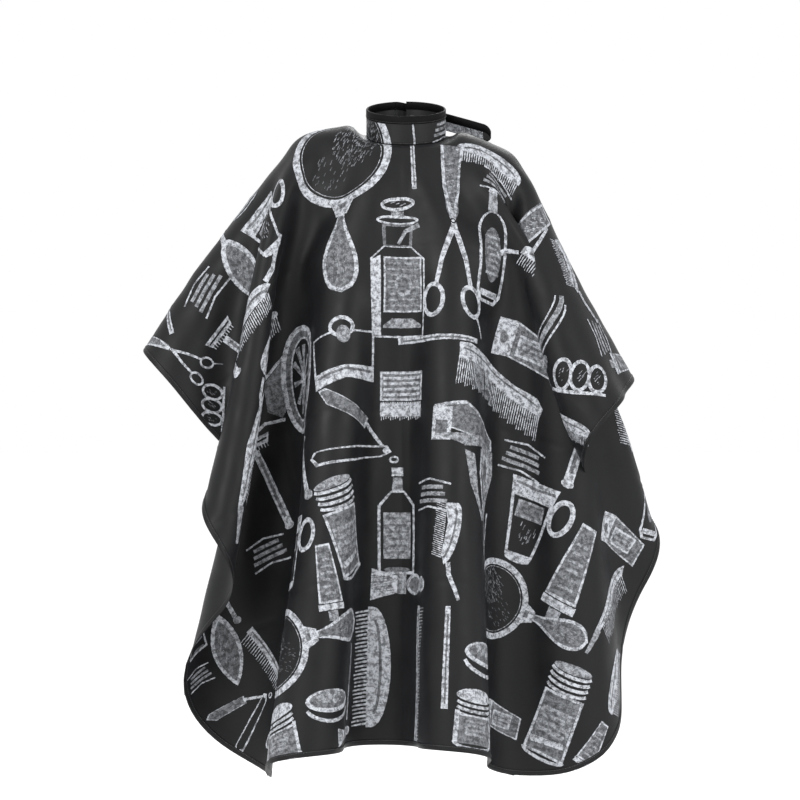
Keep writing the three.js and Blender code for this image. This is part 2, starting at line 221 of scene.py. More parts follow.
def laid_over(u, v):
    """A first rough place on the wearer for each point of the flat cloth."""
    radius = np.hypot(u, v)
    angle = np.arctan2(v, u)
    distance = np.abs(v)
    out, height = over_shoulder(u)
    depth = mix(BODY_DEPTH, ARM_DEPTH, smooth(np.abs(u), 0.09, 0.38))
    back_out, back_down = falling(distance, depth, BACK_FLARE)
    back_height = height * (1 - CORNER_LIFT * smooth(distance, 0, BACK_LENGTH)) - back_down
    back = np.stack([out, back_out, back_height], -1)

    front_out, front_down = falling(distance, depth, FRONT_FLARE)
    to_hands = smooth(distance, *TO_HANDS)
    to_hem = smooth(distance, *TO_HEM)
    hand_x, hand_y = along_plan(HAND_PLAN, u)
    hem_x, hem_y = along_plan(HEM_PLAN, u)
    x = mix(out, mix(hand_x, hem_x, to_hem), to_hands)
    y = mix(-front_out, mix(hand_y, hem_y, to_hem), to_hands)
    spread = np.maximum(np.hypot(x, y) - NECK_RADIUS, 0)
    reach = np.maximum(radius - NECK_RADIUS, 0)
    lowest = 0.012 * smooth(distance, 0.1, 0.4) - np.sqrt(np.maximum(reach**2 - spread**2, 0))
    hanging = height - front_down
    z = 0.5 * (hanging + lowest + np.hypot(hanging - lowest, 0.03))
    front = np.stack([x, y, z], -1)

    ring_height = seam_height(angle) - (radius - NECK_RADIUS) * YOKE_SLOPE
    yoke = np.stack([radius * np.cos(angle), radius * np.sin(angle), ring_height], -1)
    away = smooth(radius, NECK_RADIUS, NECK_RADIUS + YOKE_WIDTH)[..., None]
    return mix(yoke, np.where(v[..., None] < 0, front, back), away)


# ---- letting it settle ------------------------------------------------------------------------
def pushed_out(points, before, hit, normal, depth):
    """Move the points that are inside a form to its surface, with friction."""
    points[hit] += normal * depth[:, None]
    moved = points[hit] - before[hit]
    sliding = moved - normal * np.einsum("ij,ij->i", moved, normal)[:, None]
    points[hit] -= sliding * np.minimum(1, FRICTION * depth / lengths(sliding))[:, None]


def off_limb(points, before, free, limb):
    start, end = np.array(limb[0], float), np.array(limb[1], float)
    axis = end - start
    share = np.clip((points - start) @ axis / (axis @ axis), 0, 1)
    apart = points - start - share[:, None] * axis
    distance = lengths(apart)
    radius = mix(limb[2], limb[3], share) + SKIN_GAP
    hit = np.nonzero((distance < radius) & free)[0]
    if len(hit):
        normal = apart[hit] / distance[hit][:, None]
        pushed_out(points, before, hit, normal, (radius - distance)[hit])


def off_body(points, before, free, form):
    centre, axes = np.array(form[0], float), np.array(form[1], float)
    apart = (points - centre) / axes
    distance = lengths(apart)
    surface = 1 + SKIN_GAP / axes.min()
    hit = np.nonzero((distance < surface) & free)[0]
    if len(hit):
        normal = apart[hit] / axes
        normal /= np.sqrt((normal * normal).sum(1))[:, None]
        from_centre = apart[hit] / distance[hit][:, None] * axes
        depth = (surface - distance[hit]) * np.sqrt((from_centre**2).sum(1))
        pushed_out(points, before, hit, normal, depth)


def past_corner(u, past, corner, margin=0.0):
    """Which points are cut off by a rounded corner. `past` is how far each is past the hem."""
    across = np.abs(u) - HALF_WIDTH + corner
    along = past + corner
    return (across > 0) & (along > 0) & (np.hypot(across, along) > corner + margin)


def links(u, v, kept, pinned):
    """Pairs of points that hold each other, in groups that share no point."""
    rows, columns = u.shape
    movable = (~pinned).astype(float).reshape(-1)
    groups = []
    steps = [
        (0, 1, 1), (1, 0, 1), (1, 1, SHEAR_STIFFNESS), (1, -1, SHEAR_STIFFNESS),
        (0, 2, BEND_STIFFNESS), (2, 0, BEND_STIFFNESS),
        (0, 4, WIDE_BEND_STIFFNESS), (4, 0, WIDE_BEND_STIFFNESS),
    ]
    for down, across, stiffness in steps:
        i, j = np.meshgrid(
            np.arange(0, rows - down),
            np.arange(max(0, -across), columns - max(0, across)),
            indexing="ij",
        )
        i2, j2 = i + down, j + across
        length = np.hypot(u[i2, j2] - u[i, j], v[i2, j2] - v[i, j])
        over_slit = (u[i, j] * u[i2, j2] < 0) & (np.maximum(v[i, j], v[i2, j2]) > 0.001)
        held = kept[i, j] & kept[i2, j2] & ~(pinned[i, j] & pinned[i2, j2]) & ~over_slit
        parity = (i // down if down else j // across) % 2
        for side in (0, 1):
            chosen = held & (parity == side)
            a = (i * columns + j)[chosen]
            b = (i2 * columns + j2)[chosen]
            total = movable[a] + movable[b]
            pull_a = (stiffness * movable[a] / total)[:, None]
            pull_b = (stiffness * movable[b] / total)[:, None]
            groups.append((a, b, length[chosen], pull_a, pull_b))
    return groups


def settled(u, v, start):
    """The cloth after it has hung over the wearer for a moment."""
    radius = np.hypot(u, v)
    angle = np.arctan2(v, u)
    margin = 2.2 * DRAPE_STEP
    beyond = np.zeros(u.shape, bool)
    for corner, past in ((FRONT_CORNER, -v - FRONT_LENGTH), (BACK_CORNER, v - BACK_LENGTH)):
        beyond |= past_corner(u, past, corner, margin)
    pinned = radius < NECK_RADIUS + 0.6 * DRAPE_STEP
    groups = links(u, v, ~beyond, pinned)
    seam = np.stack(
        [NECK_RADIUS * np.cos(angle), NECK_RADIUS * np.sin(angle), seam_height(angle)], -1
    ).reshape(-1, 3)
    reach = np.maximum(radius - NECK_RADIUS, 0).reshape(-1) * 1.003
    points = start.reshape(-1, 3).copy()
    still = (pinned | beyond).reshape(-1)
    free = ~still
    speed = np.zeros_like(points)
    for time_step, count, kept_speed in PHASES:
        for _ in range(count):
            before = points.copy()
            speed = (speed + GRAVITY * time_step) * kept_speed
            speed[still] = 0
            points += speed * time_step
            for a, b, length, pull_a, pull_b in groups:
                apart = points[a] - points[b]
                now = lengths(apart)
                pull = ((now - length) / now)[:, None] * apart
                points[a] -= pull * pull_a
                points[b] += pull * pull_b
            apart = points - seam
            now = lengths(apart)
            over = (now > reach) & free
            points[over] -= apart[over] * ((now - reach) / now)[over][:, None] * 0.5
            for limb in LIMBS:
                off_limb(points, before, free, limb)
            for form in BODY:
                off_body(points, before, free, form)
            points[still] = before[still]
            speed = (points - before) / time_step
            speed *= np.minimum(1, TOP_SPEED / lengths(speed))[:, None]
    return points.reshape(*u.shape, 3)


class Drape:
    """The draped cloth as a smooth surface: the place in space of any point of the flat cloth."""

    def __init__(self):
        columns = 2 * round(HALF_WIDTH / DRAPE_STEP)
        self.step_u = 2 * HALF_WIDTH / columns
        rows = round((BACK_LENGTH + FRONT_LENGTH) / DRAPE_STEP) + 1
        self.step_v = (BACK_LENGTH + FRONT_LENGTH) / (rows - 1)
        across = (np.arange(columns) + 0.5) * self.step_u - HALF_WIDTH
        along = BACK_LENGTH - np.arange(rows) * self.step_v
        u, v = np.meshgrid(across, along)
        points = settled(u, v, laid_over(u, v))
        behind = v[:, 0] > 0
        middle = columns // 2
        self.right = points.copy()
        self.left = points.copy()
        for step in range(3):
            # Behind the neck each half carries on straight past the slit, by itself.
            edge, inner = points[behind, middle - 1], points[behind, middle - 2]
            self.right[behind, middle + step] = edge + (edge - inner) * (step + 1)
            edge, inner = points[behind, middle], points[behind, middle + 1]
            self.left[behind, middle - 1 - step] = edge + (edge - inner) * (step + 1)
        self.right = self.padded(self.right)
        self.left = self.padded(self.left)

    @staticmethod
    def padded(points):
        """Two more rows and columns all round, straight on from the edge."""
        for _ in range(2):
            points = np.concatenate(
                [2 * points[:1] - points[1:2], points, 2 * points[-1:] - points[-2:-1]], 0
            )
            points = np.concatenate(
                [2 * points[:, :1] - points[:, 1:2], points, 2 * points[:, -1:] - points[:, -2:-1]], 1
            )
        return points

    @staticmethod
    def weights(t):
        """Weights of four neighbours on a smooth curve, and of its direction."""
        place = np.stack([
            (1 - t) ** 3, 3 * t**3 - 6 * t**2 + 4, -3 * t**3 + 3 * t**2 + 3 * t + 1, t**3
        ]) / 6
        slope = np.stack([
            -((1 - t) ** 2), 3 * t**2 - 4 * t, -3 * t**2 + 2 * t + 1, t**2
        ]) / 2
        return place, slope

    def smooth_point(self, u, v):
        """Place and outward direction, without the fine wrinkles."""
        column = (u + HALF_WIDTH) / self.step_u - 0.5 + 2
        row = (BACK_LENGTH - v) / self.step_v + 2
        i = np.clip(np.floor(row).astype(int), 1, len(self.left) - 3)
        j = np.clip(np.floor(column).astype(int), 1, self.left.shape[1] - 3)
        down, down_slope = self.weights(row - i)
        over, over_slope = self.weights(column - j)
        place = np.zeros((len(u), 3))
        across = np.zeros((len(u), 3))
        along = np.zeros((len(u), 3))
        on_right = (u < 0)[:, None]
        for a in range(4):
            for b in range(4):
                near = np.where(
                    on_right, self.right[i + a - 1, j + b - 1], self.left[i + a - 1, j + b - 1]
                )
                place += near * (down[a] * over[b])[:, None]
                across += near * (down[a] * over_slope[b])[:, None]
                along -= near * (down_slope[a] * over[b])[:, None]
        normal = np.cross(across, along)
        normal /= np.linalg.norm(normal, axis=1)[:, None] + 1e-12
        return place, normal

    def __call__(self, u, v, proud=0.0):
        """The place of flat points on the cloth, `proud` metres above its outer face."""
        u, v = np.asarray(u, float), np.asarray(v, float)
        place, normal = self.smooth_point(u, v)
        place += normal * (fine_wrinkles(u, v)[:, None] + proud)
        radius, angle = np.hypot(u, v), np.arctan2(v, u)
        height = seam_height(angle) - (radius - NECK_RADIUS) * YOKE_SLOPE
        yoke = np.stack([radius * np.cos(angle), radius * np.sin(angle), height + proud], -1)
        away = smooth(radius, NECK_RADIUS, NECK_RADIUS + 0.025)[:, None]
        return mix(yoke, place, away)


def fine_wrinkles(u, v):
    """Packing creases and the slight unevenness of light cloth, as a height."""
    height = np.zeros_like(u)
    for place, depth in ((-0.30, 0.8), (0.0, 1.0), (0.30, 0.7)):
        height += depth * MM * np.exp(-(((u - place) / 0.004) ** 2))
    for place, depth in ((-0.25, 0.6), (-0.52, 0.9), (-0.80, 0.7), (0.2, 0.6)):
        height -= depth * MM * np.exp(-(((v - place) / 0.004) ** 2))
    chance = np.random.default_rng(7)
    for wave in range(14):
        length = 0.05 + 0.012 * wave
        direction = chance.uniform(-0.5, 0.5) * math.pi
        phase = chance.uniform(0, TURN)
        along = (u * math.cos(direction) + v * 0.6 * math.sin(direction)) / length
        height += 0.00022 * np.sin(TURN * along + phase)
    return height * smooth(np.hypot(u, v), NECK_RADIUS, NECK_RADIUS + 0.05)


# ---- making meshes ----------------------------------------------------------------------------
def add_mesh(name, points, faces, material, flat=None, tone=None, smooth_shaded=True):
    """A mesh object. flat gives each point its place on the flat piece, for the material."""
    mesh = bpy.data.meshes.new(name)
    mesh.from_pydata(np.asarray(points).tolist(), [], [list(face) for face in faces])
    if smooth_shaded:
        mesh.polygons.foreach_set("use_smooth", np.ones(len(mesh.polygons), bool))
    if flat is not None:
        corner = np.zeros(len(mesh.loops), np.int32)
        mesh.loops.foreach_get("vertex_index", corner)
        layer = mesh.uv_layers.new(name="flat")
        layer.data.foreach_set("uv", np.asarray(flat, np.float32)[corner].reshape(-1))
    if tone is not None:
        mesh.attributes.new("tone", "FLOAT", "FACE").data.foreach_set("value", tone)
    mesh.materials.append(material)
    mesh.validate()
    made = bpy.data.objects.new(name, mesh)
    bpy.context.collection.objects.link(made)
    return made


def cut_edge(step=0.004):
    """The outline of the flat cloth, from the slit round the front and back to the slit."""
    back_u, back_v = HALF_WIDTH - BACK_CORNER, BACK_LENGTH - BACK_CORNER
    front_u, front_v = HALF_WIDTH - FRONT_CORNER, FRONT_CORNER - FRONT_LENGTH
    half = [(SLIT_HALF_GAP, 0.0), (SLIT_HALF_GAP, BACK_LENGTH), (back_u, BACK_LENGTH)]
    for turn in np.radians(range(75, 0, -15)):
        half.append((back_u + BACK_CORNER * math.cos(turn), back_v + BACK_CORNER * math.sin(turn)))
    half += [(HALF_WIDTH, back_v), (HALF_WIDTH, front_v)]
    for turn in np.radians(range(4, 90, 4)):
        half.append((front_u + FRONT_CORNER * math.cos(turn), front_v - FRONT_CORNER * math.sin(turn)))
    half += [(front_u, -FRONT_LENGTH), (0.0, -FRONT_LENGTH)]
    corners = half + [(-u, v) for u, v in reversed(half[:-1])]
    points = []
    for start, end in zip(corners, corners[1:]):
        count = max(1, math.ceil(math.dist(start, end) / step))
        points += [tuple(np.add(start, np.subtract(end, start) * k / count)) for k in range(count)]
    return points + [corners[-1]]


def inside_cut(u, v):
    inside = np.hypot(u, v) > NECK_RADIUS
    for corner, past in ((FRONT_CORNER, -v - FRONT_LENGTH), (BACK_CORNER, v - BACK_LENGTH)):
        inside &= ~past_corner(u, past, corner)
    return inside


def onto_cut(u, v):
    """Move points near a rounded edge exactly onto it."""
    radius = np.hypot(u, v) + 1e-9
    near_neck = radius < NECK_RADIUS + 2 * MESH_STEP
    u = np.where(near_neck, u * NECK_RADIUS / radius, u)
    v = np.where(near_neck, v * NECK_RADIUS / radius, v)
    for corner, sign, end in ((FRONT_CORNER, -1, FRONT_LENGTH), (BACK_CORNER, 1, BACK_LENGTH)):
        across = np.abs(u) - HALF_WIDTH + corner
        along = v * sign - end + corner
        distance = np.hypot(across, along) + 1e-9
        at_corner = (across > 0) & (along > 0)
        moved_u = np.sign(u) * (HALF_WIDTH - corner + across * corner / distance)
        moved_v = sign * (end - corner + along * corner / distance)
        u, v = np.where(at_corner, moved_u, u), np.where(at_corner, moved_v, v)
    return u, v


def cloth_mesh(drape, material):
    """The cut cloth as one open sheet of small squares, slit at the back."""
    half_columns = round(HALF_WIDTH / MESH_STEP)
    rows = round((BACK_LENGTH + FRONT_LENGTH) / MESH_STEP)
    along = BACK_LENGTH - np.arange(rows + 1) * MESH_STEP
    across = np.concatenate([
        np.linspace(-HALF_WIDTH, 0, half_columns + 1), np.linspace(0, HALF_WIDTH, half_columns + 1)
    ])
    u, v = np.meshgrid(across, along)
    columns = len(across)
    left_of_slit = np.arange(columns) <= half_columns
    slit = np.where(left_of_slit, -SLIT_HALF_GAP, SLIT_HALF_GAP)[None, :]
    at_slit = (np.abs(u) < SLIT_HALF_GAP) & (v > 0)
    u = np.where(at_slit, slit, u)
    middle_u = (u[:-1, :-1] + u[1:, 1:]) / 2
    middle_v = (v[:-1, :-1] + v[1:, 1:]) / 2
    used = inside_cut(middle_u, middle_v)
    used[:, half_columns] = False
    touched = np.zeros(u.shape, int)
    for i in (0, 1):
        for j in (0, 1):
            touched[i:rows + i, j:columns - 1 + j] += used
    full = np.full(u.shape, 4)
    full[[0, -1]] = 2
    for column in (0, half_columns, half_columns + 1, columns - 1):
        full[:, column] = 2
        full[[0, -1], column] = 1
    rim = (touched > 0) & (touched < full)
    rim_u, rim_v = onto_cut(u, v)
    u, v = np.where(rim, rim_u, u), np.where(rim, rim_v, v)
    index = np.arange(u.size).reshape(u.shape)
    joined = v[:, half_columns] <= 0
    index[joined, half_columns + 1] = index[joined, half_columns]
    i, j = np.nonzero(used)
    faces = np.stack([index[i, j], index[i + 1, j], index[i + 1, j + 1], index[i, j + 1]], 1)
    kept, faces = np.unique(faces, return_inverse=True)
    u, v = u.reshape(-1)[kept], v.reshape(-1)[kept]
    side = np.where(kept % columns <= half_columns, -NUDGE, NUDGE)
    points = drape(u + side * (np.abs(u) < 1e-6), v)
    return add_mesh("cape_cloth", points, faces.reshape(-1, 4), material, np.stack([u, v], 1))


# ---- hem and stitches -------------------------------------------------------------------------
HEM_WIDTH = 0.009
HEM_PROUD = 0.0007
STITCH_LENGTH = 0.0028
STITCH_PITCH = 0.0040
THREAD_WIDTH = 0.0006


def ring_faces(sections, count, closed_ends=True):
    """Faces of a swept ring of `count` points per section."""
    faces = []
    for section in range(sections - 1):
        for k in range(count):
            near, far = section * count, (section + 1) * count
            faces.append((near + k, far + k, far + (k + 1) % count, near + (k + 1) % count))
    if closed_ends:
        last = (sections - 1) * count
        faces.append(tuple(range(count)))
        faces.append(tuple(last + k for k in reversed(range(count))))
    return faces


def edge_frame():
    """Points along the cut edge, and for each the inward direction on the flat cloth."""
    edge = np.array(cut_edge())
    edge = edge[np.hypot(edge[:, 0], edge[:, 1]) > NECK_RADIUS + 0.001]
    forward = np.gradient(edge, axis=0)
    forward /= np.linalg.norm(forward, axis=1)[:, None]
    return edge, np.stack([forward[:, 1], -forward[:, 0]], 1)


def hem_mesh(drape, material):
    """The cut edge turned over twice and pressed flat, as one narrow band."""
    edge, inward = edge_frame()
    corners = [
        (HEM_WIDTH, HEM_PROUD * 0.6), (HEM_WIDTH * 0.85, HEM_PROUD), (0.001, HEM_PROUD),
        (-0.0006, 0), (0.001, -HEM_PROUD), (HEM_WIDTH * 0.85, -HEM_PROUD),
        (HEM_WIDTH, -HEM_PROUD * 0.6),
    ]
    rings = []
    for inset, proud in corners:
        flat = edge + inward * inset
        rings.append(drape(flat[:, 0], flat[:, 1], proud))
    points = np.stack(rings, 1)
    length = run_along(edge)
    flat = np.stack([
        np.repeat(length, len(corners)), np.tile([inset for inset, _ in corners], len(edge))
    ], 1)
    faces = ring_faces(len(edge), len(corners))
    return add_mesh("cape_hem", points.reshape(-1, 3), faces, material, flat)


def stitches(name, starts, stops, out, material):
    """Short raised threads between pairs of points, standing up along `out`."""
    along = stops - starts
    side = np.cross(along, out)
    side *= THREAD_WIDTH / 2 / (np.linalg.norm(side, axis=1)[:, None] + 1e-12)
    rise = out * THREAD_WIDTH * 0.7
    corners = [
        starts - side, starts + side, stops + side, stops - side,
        mix(starts, stops, 0.25) + rise, mix(starts, stops, 0.75) + rise,
    ]
    points = np.stack(corners, 1).reshape(-1, 3)
    shape = [(0, 1, 2, 3), (0, 3, 5, 4), (1, 4, 5, 2), (0, 4, 1), (3, 2, 5)]
    faces = [tuple(6 * k + c for c in face) for k in range(len(starts)) for face in shape]
    return add_mesh(name, points, faces, material)


def hem_stitches(drape, material):
    edge, inward = edge_frame()
    line = edge + inward * HEM_WIDTH * 0.75
    length = run_along(line)
    starts = np.arange(0.004, length[-1] - 0.006, STITCH_PITCH)

    def place(at, proud):
        u, v = np.interp(at, length, line[:, 0]), np.interp(at, length, line[:, 1])
        return drape(u, v, proud)

    proud = HEM_PROUD + 0.0001
    near, far = place(starts, proud), place(starts + STITCH_LENGTH, proud)
    out = place(starts, proud + 0.001) - near
    out /= np.linalg.norm(out, axis=1)[:, None]
    return stitches("cape_hem_stitches", near, far, out, material)


# ---- the neckband, its tab and its tail -------------------------------------------------------
BAND_HEIGHT = 0.050
BINDING_HEIGHT = 0.014
FACE_THICKNESS = 0.0004
STIFFENER_THICKNESS = 0.0006
GAP = 0.0003
LINING_OUT = 0.0
STIFFENER_OUT = LINING_OUT + FACE_THICKNESS + GAP
OUTER_OUT = STIFFENER_OUT + STIFFENER_THICKNESS + GAP
BAND_THICKNESS = OUTER_OUT + FACE_THICKNESS
RAMP_LENGTH = 0.018
OVERLAP_LENGTH = 0.042
TAB_LENGTH = RAMP_LENGTH + OVERLAP_LENGTH
TAIL_LENGTH = 0.114
TAB_STAND_OFF = 0.007
TAIL_CURL_RADIUS = 0.200
TAIL_DROOP = 0.034
TAB_TAPER = 0.020
TIP_RADIUS = 0.013
UP = np.array([0.0, 0.0, 1.0])


def band_place(along):
    """Foot, outward direction and height of the band, metres clockwise round from its front."""
    turn = -TURN / 4 - np.asarray(along) / NECK_RADIUS
    outward = level(turn)
    foot = outward * NECK_RADIUS + UP * seam_height(turn)[..., None]
    return foot, outward, np.full(turn.shape, BAND_HEIGHT)


def tab_place(along):
    """The same for the tab and tail, from where the tab starts to climb over the band."""
    along = np.asarray(along, float)
    on_ramp = np.minimum(along, RAMP_LENGTH) / RAMP_LENGTH
    on_overlap = np.clip(along - RAMP_LENGTH, 0, OVERLAP_LENGTH)
    loose = np.maximum(0, along - TAB_LENGTH)
    turn = TURN / 4 + RAMP_LENGTH / NECK_RADIUS * (1 - on_ramp)
    turn -= on_overlap / (NECK_RADIUS + TAB_STAND_OFF)
    outward = level(turn)
    forward = np.stack([np.sin(turn), -np.cos(turn), 0 * turn], -1)
    curl = loose / TAIL_CURL_RADIUS
    foot = outward * (NECK_RADIUS + TAB_STAND_OFF * smooth(on_ramp, 0, 1))[..., None]
    foot += forward * (TAIL_CURL_RADIUS * np.sin(curl))[..., None]
    foot += outward * (TAIL_CURL_RADIUS * (1 - np.cos(curl)))[..., None]
    turned = turn + curl
    outward = level(turned)
    taper = TAB_TAPER * smooth(along, 0, TAB_LENGTH)
    to_tip = np.maximum(0, loose - TAIL_LENGTH + TIP_RADIUS) * 0.95
    rounding = TIP_RADIUS - np.sqrt(TIP_RADIUS**2 - to_tip**2)
    droop = TAIL_DROOP * loose / TAIL_LENGTH
    foot += UP * (seam_height(turn) + taper * 0.5 - droop + rounding)[..., None]
    return foot, outward, BAND_HEIGHT - taper - 2 * rounding


END_GAP = 0.0003
BAND_FRONT_TO_END = TURN / 2 * NECK_RADIUS - RAMP_LENGTH - END_GAP
SEGMENTS = {                 # path, where it starts and stops along it, and its pieces
    "neckband": (band_place, -TURN / 2 * NECK_RADIUS + 2 * END_GAP, BAND_FRONT_TO_END, 200),
    "tab": (tab_place, 0.0, TAB_LENGTH, 40),
    "tail": (tab_place, TAB_LENGTH, TAB_LENGTH + TAIL_LENGTH, 70),
}


def flat_layer(inner, thickness, margin):
    """The outline of one layer of cloth, as [outward, up] for each height of the band."""
    def outline(height, along):
        up = np.linspace(0, 1, 9)
        top = height - GAP - FACE_THICKNESS - margin
        levels = margin + (top - margin)[:, None] * up
        pucker = 0.00012 * np.sin(TURN * along / 0.008)[:, None] * (1 - np.sin(math.pi * up))
        outer = np.stack([inner + thickness + pucker, levels], -1)
        inside = np.stack([inner + pucker, levels], -1)[:, ::-1]
        return np.concatenate([outer, inside], 1)
    return outline


def binding_layer(height, along):
    """A tape folded over the top edge, with a rounded fold."""
    inside, outside = LINING_OUT - GAP, BAND_THICKNESS + GAP
    middle, half = (inside + outside) / 2, (outside - inside) / 2
    foot = height - np.minimum(BINDING_HEIGHT, height - 0.003)
    ripple = 0.00015 * np.sin(TURN * along / 0.0052)
    columns = []
    arch = [math.radians(a) for a in range(0, 181, 20)]
    outer_half = half + FACE_THICKNESS
    columns.append((middle + outer_half + ripple, foot))
    columns.append((middle + outer_half, mix(foot, height, 0.5)))
    for a in arch:
        rise = height - outer_half + outer_half * math.sin(a)
        columns.append((middle + outer_half * math.cos(a) + 0 * height, rise))
    columns.append((middle - outer_half + 0 * height, foot))
    columns.append((middle - half + 0 * height, foot))
    for a in reversed(arch):
        rise = height - outer_half + half * math.sin(a)
        columns.append((middle + half * math.cos(a) + 0 * height, rise))
    columns.append((middle + half + ripple, foot))
    out = np.stack([np.broadcast_to(c[0], height.shape) for c in columns], 1)
    up = np.stack([np.broadcast_to(c[1], height.shape) for c in columns], 1)
    return np.stack([out, up], -1)


def swept_layer(name, segment, outline, material):
    """One layer of the band along one segment of its path."""
    place, start, stop, pieces = SEGMENTS[segment]
    along = np.linspace(start, stop, pieces + 1)
    foot, outward, height = place(along)
    ring = outline(height, along)
    count = ring.shape[1]
    points = foot[:, None] + outward[:, None] * ring[..., :1] + UP * ring[..., 1:]
    around = run_along(ring[0])
    flat = np.stack([np.repeat(along, count), np.tile(around, len(along))], 1)
    faces = ring_faces(len(along), count)
    return add_mesh(name, points.reshape(-1, 3), faces, material, flat)


def on_band(place, inner=False):
    """A surface for print and stitches: metres along and up to a place on a face of the band."""
    def surface(along, up, proud=0.0):
        foot, outward, _ = place(along)
        out = LINING_OUT - proud if inner else BAND_THICKNESS + proud
        return foot + outward * out + UP * np.asarray(up)[:, None]
    return surface


def band_stitches(segment, material):
    """A row on the binding and a row above the neck seam."""
    place, start, stop, _ = SEGMENTS[segment]
    surface = on_band(place)
    starts = np.arange(start + 0.002, stop - 0.006, STITCH_PITCH)
    near, far, out = [], [], []
    _, outward, height = place(starts)
    for up, proud in ((height - BINDING_HEIGHT + 0.0022, 0.00075), (0 * height + 0.0035, 0.0002)):
        near.append(surface(starts, up, proud))
        far.append(surface(starts + STITCH_LENGTH, up, proud))
        out.append(outward)
    return stitches(
        f"{segment}_stitches", np.concatenate(near), np.concatenate(far), np.concatenate(out), material
    )


def neck_seam(material):
    """The rolled seam where the cape is gathered into the band."""
    turn = np.linspace(0, TURN, 161)[:-1] + TURN / 4
    outward = level(turn)
    foot = outward * (NECK_RADIUS + 0.0012) + UP * (seam_height(turn) - 0.0006)[:, None]
    rings = []
    for degrees in range(0, 360, 45):
        a = math.radians(degrees)
        bulge = 0.0012 + 0.0002 * np.sin(turn * 60)
        rings.append(foot + (outward * math.cos(a) + UP * math.sin(a)) * bulge[:, None])
    count = len(rings)
    points = np.stack(rings, 1)
    points = np.concatenate([points, points[:1]])
    flat = np.stack([
        np.repeat(np.arange(len(points)) * 0.0026, count), np.tile(np.arange(count) * 0.001, len(points))
    ], 1)
    faces = ring_faces(len(points), count, closed_ends=False)
    return add_mesh("neck_seam", points.reshape(-1, 3), faces, material, flat)


# ---- drawing the print ------------------------------------------------------------------------
BARE, PALE, MIDDLE, FAINT = 0.0, 1.0, 0.55, 0.28


class Drawing:
    """A line drawing in millimetres: areas laid one over another, each with its share of ink."""

    def __init__(self):
        self.areas = []

    def area(self, points, ink=PALE):
        self.areas.append((ink, anticlockwise([(float(x), float(y)) for x, y in points])))

    def disc(self, x, y, wide, high=None, ink=PALE, lean=0):
        high = wide if high is None else high
        count = max(10, int(max(wide, high) * 0.9))
        lean = math.radians(lean)
        points = []
        for k in range(count):
            a = TURN * k / count
            across, up = wide * math.cos(a), high * math.sin(a)
            points.append((
                x + across * math.cos(lean) - up * math.sin(lean),
                y + across * math.sin(lean) + up * math.cos(lean),
            ))
        self.area(points, ink)

    def ring(self, x, y, wide, high, width, inside=BARE, lean=0):
        self.disc(x, y, wide, high, PALE, lean)
        self.disc(x, y, wide - width, high - width, inside, lean)

    def line(self, points, width, end_width=None, ink=PALE):
        """A stroke that may taper."""
        end_width = width if end_width is None else end_width
        points = np.array(points, float)
        forward = np.gradient(points, axis=0)
        forward /= np.linalg.norm(forward, axis=1)[:, None] + 1e-9
        side = np.stack([-forward[:, 1], forward[:, 0]], 1)
        half = np.linspace(width, end_width, len(points))[:, None] / 2
        self.area(np.concatenate([points + side * half, (points - side * half)[::-1]]).tolist(), ink)

    def outline(self, points, width, inside=BARE):
        """A closed shape drawn as its edge."""
        self.area(points, PALE)
        middle = np.mean(points, axis=0)
        reach = np.abs(np.array(points) - middle).max(axis=0)
        shrink = 1 - width / np.maximum(reach, width * 1.5)
        self.area((middle + (np.array(points) - middle) * shrink).tolist(), inside)

    def box(self, x0, y0, x1, y1, ink=PALE):
        self.area([(x0, y0), (x1, y0), (x1, y1), (x0, y1)], ink)

    def frame(self, x0, y0, x1, y1, width, inside=BARE):
        self.box(x0, y0, x1, y1)
        self.box(x0 + width, y0 + width, x1 - width, y1 - width, inside)

    def rules(self, x0, x1, y0, y1, count, width=2.0, ink=MIDDLE):
        """Plain level lines, as on a label with nothing written on it."""
        for k in range(count):
            y = mix(y0, y1, (k + 0.5) / count)
            short = 0.12 * (x1 - x0) * ((k * 7) % 3) / 2
            self.line([(x0 + short, y), ((x0 + x1) / 2, y + 0.8), (x1 - short, y)], width, width, ink)

    def teeth(self, start, stop, reach, count, width=1.8, ink=PALE):
        """Parallel teeth or bristles hanging from a line."""
        for k in range(count):
            x = mix(start[0], stop[0], (k + 0.5) / count)
            y = mix(start[1], stop[1], (k + 0.5) / count)
            length = 1 - 0.12 * ((k * 5) % 4) / 3
            self.line([(x, y), (x + reach[0] * length, y + reach[1] * length)], width, width * 0.6, ink)

    def glints(self, x, y, wide, high, count, ink=FAINT, lean=60, seed=1):
        """Short chalk marks scattered over an ellipse."""
        chance = np.random.default_rng(seed)
        lean = math.radians(lean)
        for _ in range(count):
            a, r = chance.uniform(0, TURN), math.sqrt(chance.uniform(0, 0.8))
            px, py = x + wide * r * math.cos(a), y + high * r * math.sin(a)
            length = chance.uniform(3, 9)
            end = (px + length * math.cos(lean), py + length * math.sin(lean))
            self.line([(px, py), end], 1.4, 0.6, ink)


def drop(x, top, bottom, width, shape=0.7, count=16):
    """The outline of a drop-shaped handle between two heights."""
    side = []
    for k in range(count + 1):
        t = k / count
        half = width / 2 * math.sin(math.pi * t**shape) ** 0.8 if 0 < t < 1 else 0
        side.append((half, mix(top, bottom, t)))
    return [(x + h, y) for h, y in side] + [(x - h, y) for h, y in side[-2:0:-1]]


def paddle(x, top, bottom, width, count=18):
    """The outline of a handle that widens from a slim neck to a round end."""
    side = []
    for k in range(count + 1):
        t = k / count
        half = width / 2 * (0.22 + 0.78 * float(smooth(t, 0.05, 0.7)))
        if t > 0.72:
            half *= math.sqrt(max(0, 1 - ((t - 0.72) / 0.28) ** 2))
        side.append((half, mix(top, bottom, t)))
    return [(x + h, y) for h, y in side] + [(x - h, y) for h, y in side[-2::-1]]


